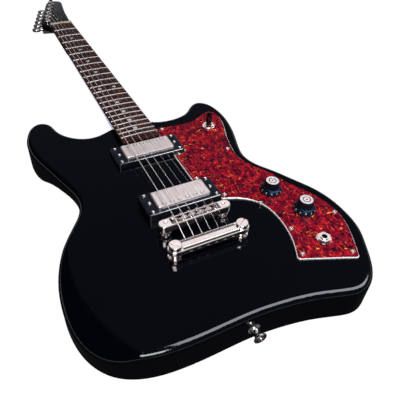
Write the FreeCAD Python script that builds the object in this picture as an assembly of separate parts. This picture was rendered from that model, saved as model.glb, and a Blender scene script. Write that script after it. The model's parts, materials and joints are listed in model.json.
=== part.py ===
import FreeCAD, Part
import math
import os

# Solid-body electric guitar with two pickups, lying on its back.
# Millimetres. +X is the treble side, +Y runs from the bridge to the headstock, +Z is up.
# z = 0 is the flat back of the body and y = 0 is the scale line at the bridge.

V = FreeCAD.Vector
ROT = FreeCAD.Rotation
PLACE = FreeCAD.Placement

# ---- driving dimensions ----
TOP = 44.5                  # body thickness, and so the height of its top face
SCALE = 628.65              # scale length, 24.75 in
FRET_COUNT = 22
EDGE_R = 7.0                # rounding of the body's rim, front and back
BEVEL_CREASE_R = 10.0       # softening of the line where the forearm bevel starts
BELLY_CREASE_R = 40.0

BOARD_HALF_NUT = 21.45      # half the fretboard's width at the nut
BOARD_HALF_END = 26.75      # half the fretboard's width at fret 22
BOARD_T = 6.0
BOARD_RADIUS = 304.8        # crown of the fretboard, 12 in
BOARD_Z_FRET_22 = TOP + 13.0
NECK_SLOPE = 0.025          # fall of the fretboard's plane towards the nut
FRET_H = 1.1
FRET_HALF_W = 1.1

HEAD_TILT = 3.0             # degrees, on top of the neck's own slope
HEAD_T = 13.5
TUNER_STEP = 25.0           # distance between tuning posts along the headstock
FIRST_TUNER = 35.0          # first post's distance behind the nut
POST_R = 3.0

STRING_D = (1.17, 0.91, 0.66, 0.46, 0.36, 0.28)     # low E to high E
STRING_HALF_NUT = 17.6
STRING_HALF_BRIDGE = 26.0

GUARD_T = 2.5
GUARD_TOP = TOP + GUARD_T

PICKUP_L = 69.0             # cover of a small two-coil pickup
PICKUP_W = 29.0
NECK_PICKUP_Y = 146.0
BRIDGE_PICKUP_Y = 38.0
NECK_COVER_TOP = TOP + 11.4
BRIDGE_COVER_TOP = TOP + 14.8
NECK_RING_H = 7.3
BRIDGE_RING_H = 10.9
RING_HALF_L = 48.0
RING_HALF_W = 19.5
RING_SCREW = (41.5, 15.1)
HEIGHT_SCREW_X = 40.1
COVER_GAP = 0.5             # cover to ring, all round
POLE_STEP = 9.9

BRIDGE_Y = -2.7
BRIDGE_SKEW = 1.5           # degrees, bass side further from the neck
BRIDGE_POST_X = 37.0
BEAM_TOP = TOP + 16.5
BEAM_BOTTOM = TOP + 7.5
BEAM_HALF_W = 6.75
TROUGH_HALF_W = 4.75
SADDLE_HALF_W = 4.7
SADDLE_HALF_L = 2.4
SADDLE_OFFSET = (-0.7, 0.1, 0.8, -0.6, 0.2, 0.8)    # low E to high E, along the strings
SADDLE_SCREW_R = 1.2

TAIL_Y = -38.5
STUD_X = 41.0
STUD_TOP = TOP + 18.3

KNOB_PLACES = {"volume": (112.5, 9.0), "tone": (131.0, -37.0)}
TOGGLE_AT = (106.7, 170.1)
JACK_AT = (122.5, -86.4)
JACK_BORE_R = 3.25

GUARD_SCREWS = (
    (39.0, 188.1), (37.1, 123.8), (36.3, 66.8), (54.5, 25.0), (105.2, 108.3),
    (87.8, -6.3), (97.2, -58.0), (86.5, -95.2), (140.2, -115.5), (162.5, -56.4),
)

STRAP_TAIL = (0.0, -140.2)
STRAP_HORN = (-120.0, 277.2)

GAP = 0.3                   # clearance between pieces that move past each other
DEG = math.pi / 180.0


# ---- small helpers ----
def box(x0, x1, y0, y1, z0, z1):
    return Part.makeBox(x1 - x0, y1 - y0, z1 - z0, V(x0, y0, z0))


def cyl(radius, base, height, axis=(0, 0, 1)):
    return Part.makeCylinder(radius, height, V(*base), V(*axis))


def tube(outer, inner, base, height, axis=(0, 0, 1)):
    return cyl(outer, base, height, axis).cut(cyl(inner, base, height, axis))


def fuse(shapes):
    first, rest = shapes[0], list(shapes[1:])
    joined = first.fuse(rest) if rest else first
    return joined.removeSplitter()


def group(shapes):
    """Separate solids that are kept together in one node."""
    solids = [solid for shape in shapes for solid in shape.Solids]
    return Part.makeCompound(solids)


def placed(shape, placement):
    copy = shape.copy()
    copy.Placement = placement.multiply(copy.Placement)
    return copy


def closed_curve(points):
    """Smooth closed curve through points (x, y) at z = 0."""
    curve = Part.BSplineCurve()
    curve.interpolate(Points=[V(x, y, 0) for x, y in points], PeriodicFlag=True)
    return Part.Wire([curve.toShape()])


def open_curve(points):
    curve = Part.BSplineCurve()
    curve.interpolate(Points=[V(x, y, 0) for x, y in points])
    return curve.toShape()


def line(a, b):
    return Part.makeLine(V(a[0], a[1], 0), V(b[0], b[1], 0))


def polygon(points, z=0.0):
    corners = [V(x, y, z) for x, y in points]
    return Part.Face(Part.makePolygon(corners + corners[:1]))


def slab(wire, z0, z1):
    face = Part.Face(wire)
    face.translate(V(0, 0, z0))
    return face.extrude(V(0, 0, z1 - z0))


def channel(points, radius, z0, z1):
    """Routed groove with round ends through the points."""
    pieces = [cyl(radius, (x, y, z0), z1 - z0) for x, y in points]
    for (xa, ya), (xb, yb) in zip(points, points[1:]):
        length = math.hypot(xb - xa, yb - ya)
        bar = box(0, length, -radius, radius, z0, z1)
        turn = math.degrees(math.atan2(yb - ya, xb - xa))
        pieces.append(placed(bar, PLACE(V(xa, ya, 0), ROT(V(0, 0, 1), turn))))
    return fuse(pieces)


def revolved(profile, centre=(0, 0), z=0.0):
    """Solid turned about a vertical axis from (radius, height) points."""
    corners = [V(radius, 0, height) for radius, height in profile]
    face = Part.Face(Part.makePolygon(corners + corners[:1]))
    solid = face.revolve(V(0, 0, 0), V(0, 0, 1), 360)
    solid.translate(V(centre[0], centre[1], z))
    return solid


def hexagon(across, base, height):
    corner = across / math.sqrt(3)
    points = [(base[0] + corner * math.cos(k * math.pi / 3), base[1] + corner * math.sin(k * math.pi / 3))
              for k in range(6)]
    face = polygon(points, base[2])
    return face.extrude(V(0, 0, height))


def screw(x, y, top, head_r, shank_r, length):
    """Round-head screw with a cross recess. top is the height of the surface it sits on."""
    head = cyl(head_r, (x, y, top), 0.9)
    dome = Part.makeSphere(head_r * 1.6, V(x, y, top + 0.9 - head_r * 1.6 + 0.75))
    head = cyl(head_r, (x, y, top), 1.7).common(dome).fuse(head)
    recess = [box(x - head_r * 0.6, x + head_r * 0.6, y - 0.3, y + 0.3, top + 0.8, top + 3),
              box(x - 0.3, x + 0.3, y - head_r * 0.6, y + head_r * 0.6, top + 0.8, top + 3)]
    head = head.cut(recess[0]).cut(recess[1])
    shank = cyl(shank_r, (x, y, top - length), length)
    return fuse([head, shank])


# ---- frames of the tilted parts ----
NECK_ANGLE = math.degrees(math.atan(NECK_SLOPE))
FRET_22_Y = SCALE * 2 ** (-FRET_COUNT / 12.0)
NECK_ORIGIN_Z = BOARD_Z_FRET_22 + NECK_SLOPE * FRET_22_Y
# neck frame: z = 0 is the crown of the fretboard, y is counted from the scale line
NECK = PLACE(V(0, 0, NECK_ORIGIN_Z), ROT(V(1, 0, 0), -NECK_ANGLE))
NUT_LENGTH = 5.0
HEAD_ORIGIN = V(0, SCALE + NUT_LENGTH, -BOARD_T - 0.3)
# headstock frame: z = 0 is its face, y is counted from the back of the nut
HEAD = NECK.multiply(PLACE(HEAD_ORIGIN, ROT(V(1, 0, 0), -HEAD_TILT)))
BRIDGE = PLACE(V(0, BRIDGE_Y, 0), ROT(V(0, 0, 1), BRIDGE_SKEW))


def fret_y(number):
    return SCALE * 2 ** (-number / 12.0)


def half_width(y):
    """Half the fretboard's width at a distance from the scale line."""
    t = (SCALE - y) / (SCALE - FRET_22_Y)
    return BOARD_HALF_NUT + t * (BOARD_HALF_END - BOARD_HALF_NUT)


def string_x(index, at_nut):
    half = STRING_HALF_NUT if at_nut else STRING_HALF_BRIDGE
    return -half + index * half / 2.5


def crown_drop(x):
    return BOARD_RADIUS - math.sqrt(BOARD_RADIUS ** 2 - x ** 2)


# ---- body ----
BODY_OUTLINE = (
    (0, 223), (-27, 224), (-41, 218), (-54.6, 214.3), (-69, 216), (-83.3, 224.5), (-95, 238.5),
    (-101, 254), (-107, 271), (-120, 277.2), (-132, 271), (-140, 257), (-145, 238), (-145.6, 218),
    (-141.5, 194), (-132.5, 165), (-122, 132), (-114.5, 107), (-112.8, 90), (-117, 71),
    (-127.5, 54), (-142, 33), (-154, 11), (-162.5, -13), (-166.8, -42), (-165.5, -72),
    (-157.5, -99), (-141, -121), (-116, -134.5), (-82, -140.5), (-42, -141), (0, -140.2),
    (36, -143), (72, -149.5), (98, -157), (118, -160.3), (133, -155.5), (149, -141.5),
    (166.5, -112), (177.5, -87), (181.3, -57), (179, -29), (170.4, -2.7), (157, 22),
    (141.7, 49), (128.5, 70), (123.4, 92), (127, 112), (135.5, 138), (143, 166), (146.3, 193),
    (144.5, 217), (137, 236), (122, 244.6), (108, 237.5), (95, 224.5), (80, 217), (62, 214.5),
    (42, 217.5), (27, 223),
)

CONTROL_ROUTE = ((112.5, 9.0), (131.0, -37.0), (122.5, -86.4))


def forearm_bevel():
    """Slope on the bass edge of the lower bout, cut by a cone about a vertical axis."""
    centre = (27.0, -25.0)
    crease_radius = 177.0
    slope = math.tan(34 * DEG)
    depth = 30.0
    cone = Part.makeCone(crease_radius + (depth + 2) / slope, crease_radius - 2 / slope, depth + 4,
                         V(centre[0], centre[1], TOP - depth - 2))
    zone = box(-200, -60, -190, 44, TOP - depth - 1, TOP + 1)
    return zone.cut(cone)


def belly_cut():
    """Hollow on the back of the bass waist, a wide shallow cylinder."""
    radius = 170.0
    depth = 17.0
    rolled = cyl(radius, (-113, 90, depth - radius), 200, (-1.0, 0.12, 0.3))
    tail = cyl(radius, (-113, 90, depth - radius), 60, (1.0, -0.12, -0.3))
    return fuse([rolled, tail])


def post_holes():
    """Holes for the threaded bushings, and a runout below each stud and post."""
    holes = []
    for side in (-1, 1):
        base = BRIDGE.multVec(V(side * BRIDGE_POST_X, 0, TOP - 22))
        holes.append(cyl(4.5, tuple(base), 23))
        holes.append(cyl(6.0, (side * STUD_X, TAIL_Y, TOP - 26), 27))
    return holes


def pickup_cavity(y):
    well = box(-36, 36, y - 16, y + 16, TOP - 16, TOP + 1)
    legs = box(-46, 46, y - 8, y + 8, TOP - 22, TOP + 1)
    return well.fuse(legs)


def body_openings():
    """Everything routed into the body from above, as one list of tools."""
    tools = [pickup_cavity(NECK_PICKUP_Y), pickup_cavity(BRIDGE_PICKUP_Y)]
    tools.append(channel(CONTROL_ROUTE, 17.0, TOP - 34, TOP + 1))
    tools.append(cyl(17.0, (TOGGLE_AT[0], TOGGLE_AT[1], TOP - 36), 37))
    tools.append(channel([TOGGLE_AT, (92, 110), (92, 60), CONTROL_ROUTE[0]], 6.0, TOP - 15, TOP + 1))
    tools.append(channel([(44, NECK_PICKUP_Y), (92, 110)], 5.0, TOP - 15, TOP + 1))
    tools.append(channel([(44, BRIDGE_PICKUP_Y), (92, 60)], 5.0, TOP - 15, TOP + 1))
    return tools


def edges_of_curve(shape, kind):
    return [edge for edge in shape.Edges if isinstance(edge.Curve, kind)]


def rim_edges(body):
    """Where the upright side wall meets the faces above and below it."""
    walls = [face for face in body.Faces if isinstance(face.Surface, Part.SurfaceOfExtrusion)]
    edges = [edge for wall in walls for edge in wall.Edges]
    return [edge for edge in edges if edge.BoundBox.XLength > 0.1]


def body_blank():
    """The body's outer shape: outline, forearm bevel, belly cut and rounded rims."""
    body = slab(closed_curve(BODY_OUTLINE), 0, TOP)
    body = body.cut(forearm_bevel())
    body = body.cut(belly_cut())
    body = body.makeFillet(BEVEL_CREASE_R, edges_of_curve(body, Part.Circle))
    body = body.makeFillet(BELLY_CREASE_R, edges_of_curve(body, Part.Ellipse))
    return body.makeFillet(EDGE_R, rim_edges(body))


def make_body(neck_blank_shape):
    body = body_blank()
    for tool in body_openings() + post_holes():
        body = body.cut(tool)
    body = body.cut(neck_blank_shape)
    for x, y in GUARD_SCREWS:
        body = body.cut(cyl(1.0, (x, y, TOP - 11), 12))
    for y in (NECK_PICKUP_Y, BRIDGE_PICKUP_Y):
        for sx in (-1, 1):
            for sy in (-1, 1):
                body = body.cut(cyl(1.0, (sx * RING_SCREW[0], y + sy * RING_SCREW[1], TOP - 11), 12))
    for hole in strap_screw_holes():
        body = body.cut(hole)
    return body


# ---- strap buttons ----
def strap_places():
    """Each strap button's seat on the body's edge and its outward direction."""
    return (
        (V(STRAP_TAIL[0], STRAP_TAIL[1], TOP / 2), V(0, -1, 0)),
        (V(STRAP_HORN[0], STRAP_HORN[1], TOP / 2), V(0.04, 1, 0).normalize()),
    )


def strap_button(seat, out):
    profile = ((2.2, 0.9), (5.5, 0.9), (4.2, 4.0), (4.2, 8.5), (7.2, 11.0), (7.2, 12.6),
               (5.6, 13.6), (2.2, 13.6))
    button = revolved(profile)
    return placed(button, PLACE(seat, ROT(V(0, 0, 1), out)))


def strap_washer(seat, out):
    washer = tube(6.8, 2.2, (0, 0, -0.6), 1.5)
    return placed(washer, PLACE(seat, ROT(V(0, 0, 1), out)))


def strap_screw(seat, out):
    part = screw(0, 0, 13.6, 3.4, 2.0, 38.0)
    return placed(part, PLACE(seat, ROT(V(0, 0, 1), out)))


def strap_screw_holes():
    holes = []
    for seat, out in strap_places():
        hole = cyl(2.0, (0, 0, -25), 30)
        pocket = cyl(6.8, (0, 0, -0.6), 10)
        for tool in (hole, pocket):
            holes.append(placed(tool, PLACE(seat, ROT(V(0, 0, 1), out))))
    return holes


# ---- neck ----
TENON_Y0 = 170.0
HEEL_Y = 228.0


def neck_section(y, depth):
    """Half-ellipse under a flat top, across the neck."""
    half = half_width(y)
    top = -BOARD_T
    start = V(-half, y, top)
    end = V(half, y, top)
    side = 2.5
    if half >= depth - side:
        arc = Part.Ellipse(V(half, y, top - side), V(0, y, top - depth), V(0, y, top - side))
        low = Part.ArcOfEllipse(arc, 0, math.pi)
    else:
        arc = Part.Ellipse(V(0, y, top - depth), V(half, y, top - side), V(0, y, top - side))
        low = Part.ArcOfEllipse(arc, -math.pi / 2, math.pi / 2)
    low = low.toShape()
    ends = sorted((v.Point for v in low.Vertexes), key=lambda p: p.x)
    sides = [Part.makeLine(start, end), Part.makeLine(end, ends[1]), Part.makeLine(ends[0], start)]
    return Part.Wire(Part.__sortEdges__(sides + [low]))


def smooth_step(t):
    t = min(max(t, 0.0), 1.0)
    return t * t * (3 - 2 * t)


def neck_depth(y):
    """Wood under the fretboard: a slow taper, a swelling at the nut and the heel."""
    taper = 14.2 + 2.0 * (SCALE - y) / (SCALE - 300)
    at_nut = 4.6 * smooth_step((y - SCALE + 24) / 30)
    at_heel = 18.6 * smooth_step((300 - y) / (300 - HEEL_Y)) ** 1.5
    return taper + at_nut + at_heel


def neck_back():
    """Neck from the heel to the back of the nut, in straight runs between its sections."""
    stations = [HEEL_Y + k * 6.0 for k in range(13)]
    stations += [SCALE - 24 + k * 4.8333 for k in range(7)]
    sections = [neck_section(y, neck_depth(y)) for y in stations]
    return Part.makeLoft(sections, True, True)


def neck_tenon():
    """Straight block glued into the body's pocket, as wide as the fretboard."""
    corners = [(-half_width(TENON_Y0), TENON_Y0), (half_width(TENON_Y0), TENON_Y0),
               (half_width(HEEL_Y), HEEL_Y), (-half_width(HEEL_Y), HEEL_Y)]
    depth = neck_depth(HEEL_Y)
    block = polygon(corners, -35.0).extrude(V(0, 0, 35.0 - BOARD_T))
    root = Part.makeLoft([neck_section(HEEL_Y - 12, depth), neck_section(HEEL_Y, depth)], True, True)
    block = block.cut(box(-40, 40, HEEL_Y - 12, HEEL_Y + 5, -60, 0))
    return fuse([block, root])


HEAD_OUTLINE = (
    (-21.45, 0), (-22.5, 9), (-31, 22), (-34, 34), (-25, 68), (-15, 104), (-5, 140), (2.5, 166),
    (10, 182), (24, 189), (37, 181), (38.5, 160), (33, 122), (28.5, 84), (25.5, 45), (22.5, 12), (21.45, 0),
)


def head_blank():
    """Headstock blade in its own frame. Its edges are eased."""
    side = open_curve(HEAD_OUTLINE)
    closing = line(HEAD_OUTLINE[-1], HEAD_OUTLINE[0])
    blade = slab(Part.Wire([side, closing]), -HEAD_T, 0)
    edges = [e for e in blade.Edges if e.BoundBox.YLength > 100]
    return blade.makeFillet(1.5, edges)


TRUSS_COVER = ((-9.5, 3.0), (9.5, 3.0), (5.0, 40.0), (-5.0, 40.0))


def neck_blank():
    """Heel, shaft and headstock in one piece, before its holes."""
    blade = placed(head_blank(), NECK.inverse().multiply(HEAD))
    shaft = neck_back().cut(box(-40, 40, SCALE, SCALE + 20, -BOARD_T - 0.3, 10))
    return placed(fuse([shaft, neck_tenon(), blade]), NECK)


def make_neck(blank):
    channel_tool = box(-3.1, 3.1, 196, SCALE + 16, -BOARD_T - 8.2, -BOARD_T + 0.1)
    neck = blank.cut(placed(channel_tool, NECK))
    pocket = placed(box(-3.8, 3.8, 0, 33, -8, 1), HEAD)
    neck = neck.cut(pocket)
    for place in tuner_places():
        neck = neck.cut(placed(cyl(4.8, (0, 0, -HEAD_T - 1), HEAD_T + 2), place))
        for hole in tuner_screw_points():
            neck = neck.cut(placed(cyl(0.9, (hole[0], hole[1], -HEAD_T - 1), 8), place))
    for x, y in truss_cover_screw_points():
        neck = neck.cut(placed(cyl(0.9, (x, y, -6), 7), HEAD))
    return neck


def make_truss_rod():
    z = -BOARD_T - 4.6
    rod = cyl(2.6, (0, 198, z), SCALE - 198 + 4, (0, 1, 0))
    bar = box(-2.4, 2.4, 198, SCALE - 6, z + 1.4, -BOARD_T - 0.4)
    nut = cyl(3.0, (0, SCALE + 4.2, z), 12, (0, 1, 0))
    socket = placed(hexagon(4.0, (0, 0, 0), 8), PLACE(V(0, SCALE + 16.4, z), ROT(V(1, 0, 0), 90)))
    rod = fuse([rod, bar])
    nut = nut.cut(socket)
    return placed(group([rod, nut]), NECK)


def make_truss_cover():
    plate = polygon(TRUSS_COVER, 0.0).extrude(V(0, 0, 1.8))
    upright = [e for e in plate.Edges if e.BoundBox.ZLength > 1.5]
    plate = plate.makeFillet(2.5, upright)
    for x, y in truss_cover_screw_points():
        plate = plate.cut(cyl(1.0, (x, y, -1), 4))
    return placed(plate, HEAD)


def truss_cover_screw_points():
    return ((-6.0, 6.5), (6.0, 6.5), (0.0, 36.5))


def fretboard_blank():
    y0 = FRET_22_Y - 8.0
    corners = [(-half_width(y0), y0), (half_width(y0), y0), (BOARD_HALF_NUT, SCALE), (-BOARD_HALF_NUT, SCALE)]
    board = polygon(corners, -BOARD_T).extrude(V(0, 0, BOARD_T + 1))
    crown = cyl(BOARD_RADIUS, (0, y0 - 5, -BOARD_RADIUS), SCALE - y0 + 10, (0, 1, 0))
    return board.common(crown)


def fret_wire(number):
    """Crown and tang, turned about the axis of the fretboard's crown."""
    y = fret_y(number)
    half_angle = math.degrees(math.asin((half_width(y) - 0.15) / BOARD_RADIUS))
    crown = Part.Arc(V(0, y - FRET_HALF_W, 0), V(0, y, FRET_H), V(0, y + FRET_HALF_W, 0)).toShape()
    points = [V(0, y + FRET_HALF_W, 0), V(0, y + 0.3, 0), V(0, y + 0.3, -1.6), V(0, y - 0.3, -1.6),
              V(0, y - 0.3, 0), V(0, y - FRET_HALF_W, 0)]
    under = [Part.makeLine(a, b) for a, b in zip(points, points[1:])]
    face = Part.Face(Part.Wire([crown] + under))
    face.rotate(V(0, 0, -BOARD_RADIUS), V(0, 1, 0), -half_angle)
    return face.revolve(V(0, 0, -BOARD_RADIUS), V(0, 1, 0), 2 * half_angle)


def dot_centres():
    centres = []
    for number in (3, 5, 7, 9, 15, 17, 19, 21):
        centres.append((0.0, (fret_y(number) + fret_y(number - 1)) / 2))
    double = (fret_y(12) + fret_y(11)) / 2
    return centres + [(-12.0, double), (12.0, double)]


def make_board_set():
    """Fretboard, frets and position dots, each cut to seat in the next."""
    board = fretboard_blank()
    dots = [cyl(3.0, (x, y, -1.6), 3).common(board) for x, y in dot_centres()]
    frets = [fret_wire(number) for number in range(1, FRET_COUNT + 1)]
    for piece in dots + frets:
        board = board.cut(piece)
    return placed(board, NECK), placed(group(frets), NECK), placed(group(dots), NECK)


def make_nut():
    block = box(-BOARD_HALF_NUT, BOARD_HALF_NUT, SCALE, SCALE + NUT_LENGTH, -BOARD_T - 0.3, 2.6)
    crown = cyl(BOARD_RADIUS + 2.6, (0, SCALE - 5, -BOARD_RADIUS), 20, (0, 1, 0))
    block = block.common(crown)
    slope = box(-30, 30, 0, 12, 0, 8)
    block = block.cut(placed(slope, PLACE(V(0, SCALE + 1.6, 2.7), ROT(V(1, 0, 0), -18))))
    for index in range(6):
        path = string_path(index)
        radius = STRING_D[index] / 2 + 0.05
        for a, b in zip(path[1:], path[2:]):
            block = block.cut(rod_between(a, b, radius, 1.0))
        x, _, z = path[2]
        block = block.cut(box(x - radius, x + radius, SCALE - 1, SCALE + 9, z, z + 6))
    return placed(block, NECK)


# ---- strings ----
def rod_between(a, b, radius, overrun=0.0):
    way = b.sub(a)
    unit = V(way).normalize()
    base = a.sub(unit.multiply(overrun))
    return Part.makeCylinder(radius, way.Length + 2 * overrun, base, way)


def string_height(index, y, x):
    """Height of a string's centre over the fretboard's crown plane, in the neck's frame."""
    low, high = 1.55, 3.0
    t = min(max((SCALE - y) / SCALE, 0), 1.02)
    return low + t * (high - low) + STRING_D[index] / 2 - crown_drop(x)


def saddle_rest(index):
    """Ridge of a saddle at rest, in the bridge's own frame."""
    return string_x(index, False), SADDLE_OFFSET[index]


SADDLE_TRAVEL = TROUGH_HALF_W - SADDLE_HALF_L - 0.45


def saddle_range(index):
    """How far a saddle may go back and forward from its rest place."""
    offset = SADDLE_OFFSET[index]
    return -(SADDLE_TRAVEL + offset), SADDLE_TRAVEL - offset


def string_path(index):
    """Centre line in the neck's frame: tailpiece, saddle, nut, post."""
    x, offset = saddle_rest(index)
    rearmost = offset + saddle_range(index)[0]
    over = BRIDGE.multVec(V(x, rearmost, 0))
    saddle = V(over.x, over.y, string_height(index, over.y, over.x))
    tail_body = V(x, TAIL_Y - 4.3, TOP + 9.5)
    tail = NECK.inverse().multVec(tail_body)
    x_nut = string_x(index, True)
    nut = V(x_nut, SCALE + 1.6, string_height(index, SCALE, x_nut))
    post = NECK.inverse().multVec(tuner_places()[index].multVec(V(POST_R + STRING_D[index] / 2, 0, 6.0)))
    away = V(nut.sub(post)).normalize()
    wrap_r = POST_R + STRING_D[index]
    short = math.sqrt((wrap_r + GAP) ** 2 - POST_R ** 2)
    end = post.add(V(away).multiply(short))
    return [tail, saddle, nut, end]


def string_solid(index):
    path = string_path(index)
    start = path[1].sub(path[0])
    profile = Part.Wire([Part.Circle(path[0], start, STRING_D[index] / 2).toShape()])
    swept = Part.makePolygon(path).makePipeShell([profile], True, False, 1)
    return placed(swept, NECK)


def ball_end(index):
    path = string_path(index)
    way = V(path[1].sub(path[0])).normalize()
    base = path[0].sub(V(way).multiply(3.0))
    ball = Part.makeCylinder(2.1, 3.0, base, way)
    return placed(ball, NECK)


# ---- tuning machines, each in its own frame on the headstock ----
POST_LINE_ANGLE = math.degrees(math.atan2(2 * STRING_HALF_NUT, 5 * TUNER_STEP))
WHEEL_R = 5.6


def tuner_places():
    """Frame of each machine: origin on the headstock's face, -X towards the keys."""
    places = []
    for index in range(6):
        x = string_x(index, True) - POST_R - STRING_D[index] / 2
        y = FIRST_TUNER + index * TUNER_STEP
        places.append(HEAD.multiply(PLACE(V(x, y, 0), ROT(V(0, 0, 1), 0))))
    return places


HOUSING_T = 8.3
KEY_DEPTH = HEAD_T + 0.2 + HOUSING_T / 2
KEY_ANGLE = -POST_LINE_ANGLE
WORM_OFFSET = WHEEL_R + 2.2 + GAP


def turned():
    return PLACE(V(0, 0, 0), ROT(V(0, 0, 1), KEY_ANGLE))


def tuner_housing():
    """Gear case under the headstock. Its cavity holds the wheel and the worm."""
    back = -HEAD_T - HOUSING_T
    case = box(-12.5, 8.0, -7.5, 12.5, back, -HEAD_T)
    upright = [e for e in case.Edges if e.BoundBox.ZLength > 5]
    case = case.makeFillet(3.0, upright)
    ears = fuse([cyl(2.6, (5.6, -9.5, -HEAD_T - 1.6), 1.6), box(3.0, 8.0, -9.5, -5, -HEAD_T - 1.6, -HEAD_T)])
    case = fuse([case, ears])
    wheel_room = cyl(WHEEL_R + GAP, (0, 0, back + 1.2), HOUSING_T - 1.2)
    worm_room = cyl(2.2 + GAP, (-6.0, WORM_OFFSET, -KEY_DEPTH), 11.0, (1, 0, 0))
    shaft_hole = cyl(1.8 + 0.06, (-20, WORM_OFFSET, -KEY_DEPTH), 30, (1, 0, 0))
    case = case.cut(wheel_room).cut(worm_room).cut(shaft_hole)
    case = case.cut(cyl(1.0, (5.6, -9.5, -HEAD_T - 3), 6))
    return placed(case, turned())


def tuner_screw_points():
    point = turned().multVec(V(5.6, -9.5, 0))
    return ((point.x, point.y),)


def tuner_screw():
    part = screw(0, 0, 0, 1.9, 0.9, 6.0)
    x, y = tuner_screw_points()[0]
    return placed(part, PLACE(V(x, y, -HEAD_T - 1.6), ROT(V(1, 0, 0), 180)))


def tuner_bushing():
    collar = tube(5.6, POST_R + 0.06, (0, 0, 0), 1.6)
    sleeve = tube(4.8, POST_R + 0.06, (0, 0, -9.0), 9.0)
    return fuse([collar, sleeve])


def tuner_post():
    """String post with a waist, a cross hole and the worm wheel at its foot."""
    wheel_z = -HEAD_T - HOUSING_T + 1.2 + GAP
    post = cyl(POST_R, (0, 0, wheel_z), 12.0 - wheel_z)
    head = cyl(3.6, (0, 0, 9.5), 5.0)
    cap_edge = [e for e in head.Edges if e.BoundBox.ZMin > 14]
    head = head.makeFillet(1.0, cap_edge)
    wheel = cyl(WHEEL_R, (0, 0, wheel_z), 5.2)
    for k in range(14):
        angle = k * 360 / 14
        gash = cyl(0.8, (WHEEL_R + 0.2, 0, wheel_z - 1), 8)
        gash.rotate(V(0, 0, 0), V(0, 0, 1), angle)
        wheel = wheel.cut(gash)
    part = fuse([post, head, wheel])
    return part.cut(cyl(0.75, (-5, 0, 8.4), 10, (1, 0, 0)))


def string_wraps(index):
    """The string's last turns round the post, drawn as one ribbed sleeve."""
    d = STRING_D[index]
    turns = 3 if index < 3 else 4
    low = 6.0 - d / 2 - (turns - 1) * d
    rings = []
    for turn in range(turns):
        ring = tube(POST_R + d, POST_R, (0, 0, low + turn * d), d * 0.999)
        wide = 2 * (POST_R + d) - 0.01
        edges = [e for e in ring.Edges if e.BoundBox.XLength > wide and e.BoundBox.ZLength < 0.01]
        rings.append(ring.makeFillet(d * 0.35, edges))
    return group(rings)


def tuner_key():
    """Worm, shaft and thumb button, turning about the shaft's axis."""
    z = -KEY_DEPTH
    y = WORM_OFFSET
    shaft = cyl(1.8, (-19.0, y, z), 23.0, (1, 0, 0))
    worm = [cyl(2.2, (-5.2 + 1.9 * k, y, z), 1.1, (1, 0, 0)) for k in range(5)]
    collar = cyl(3.2, (-16.0, y, z), 2.5, (1, 0, 0))
    blade = Part.Face(Part.Wire([Part.Ellipse(V(-26.0, y, z), 9.0, 8.2).toShape()]))
    blade.translate(V(0, 0, -3.0))
    blade = blade.extrude(V(0, 0, 6.0))
    blade = blade.makeFillet(2.4, [e for e in blade.Edges if e.BoundBox.ZLength < 0.01])
    return placed(fuse([shaft, collar, blade] + worm), turned())


# ---- pickguard ----
GUARD_OUTER = (
    (56, 191.3), (72, 190.6), (88, 191.5), (102, 197.5), (115, 204.8), (124.5, 207), (131.7, 201),
    (134.2, 187), (131.2, 171), (125.9, 153.6), (119.7, 136.5), (113.5, 112), (110.5, 92.5),
    (115.7, 70), (125.9, 50.6), (133.5, 38), (139.6, 19.3), (150.9, -1.8), (160.8, -23.4),
    (166.5, -45), (167.2, -60), (163, -80), (153, -104), (142.5, -125.5),
)
GUARD_FOOT = ((142.5, -125.5), (122, -116.9), (101, -108.5), (77, -98.7))
GUARD_WAIST = (
    (77, -98.7), (89.5, -69.7), (93.6, -48), (94, -30), (91.0, -13), (83, 1), (70, 11.5), (48.6, 19.9),
)


def guard_wire():
    """Edge of the pickguard, stepped round the fretboard's end and both pickup rings."""
    board_side = half_width(FRET_22_Y) + 1.4
    ring_x = RING_HALF_L + 0.6
    neck_hi = NECK_PICKUP_Y + RING_HALF_W + 0.6
    neck_lo = NECK_PICKUP_Y - RING_HALF_W - 0.6
    bridge_hi = BRIDGE_PICKUP_Y + RING_HALF_W + 0.6
    corners = [GUARD_WAIST[-1], (ring_x, bridge_hi), (30, bridge_hi), (30, neck_lo), (ring_x, neck_lo),
               (ring_x, neck_hi), (board_side + 0.6, neck_hi), (board_side, 192.5)]
    edges = [line(a, b) for a, b in zip(corners, corners[1:])]
    edges.append(open_curve([corners[-1]] + list(GUARD_OUTER)))
    edges.append(open_curve(GUARD_FOOT))
    edges.append(open_curve(GUARD_WAIST))
    return Part.Wire(edges)


def upright_edges(solid, near=None, reach=3.0):
    """Straight vertical edges, all of them or those near one of some (x, y) points."""
    found = []
    for edge in solid.Edges:
        bounds = edge.BoundBox
        upright = bounds.ZLength > 1 and bounds.XLength < 0.01 and bounds.YLength < 0.01
        spots = near or [(bounds.XMin, bounds.YMin)]
        if upright and any(math.hypot(bounds.XMin - x, bounds.YMin - y) < reach for x, y in spots):
            found.append(edge)
    return found


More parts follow.
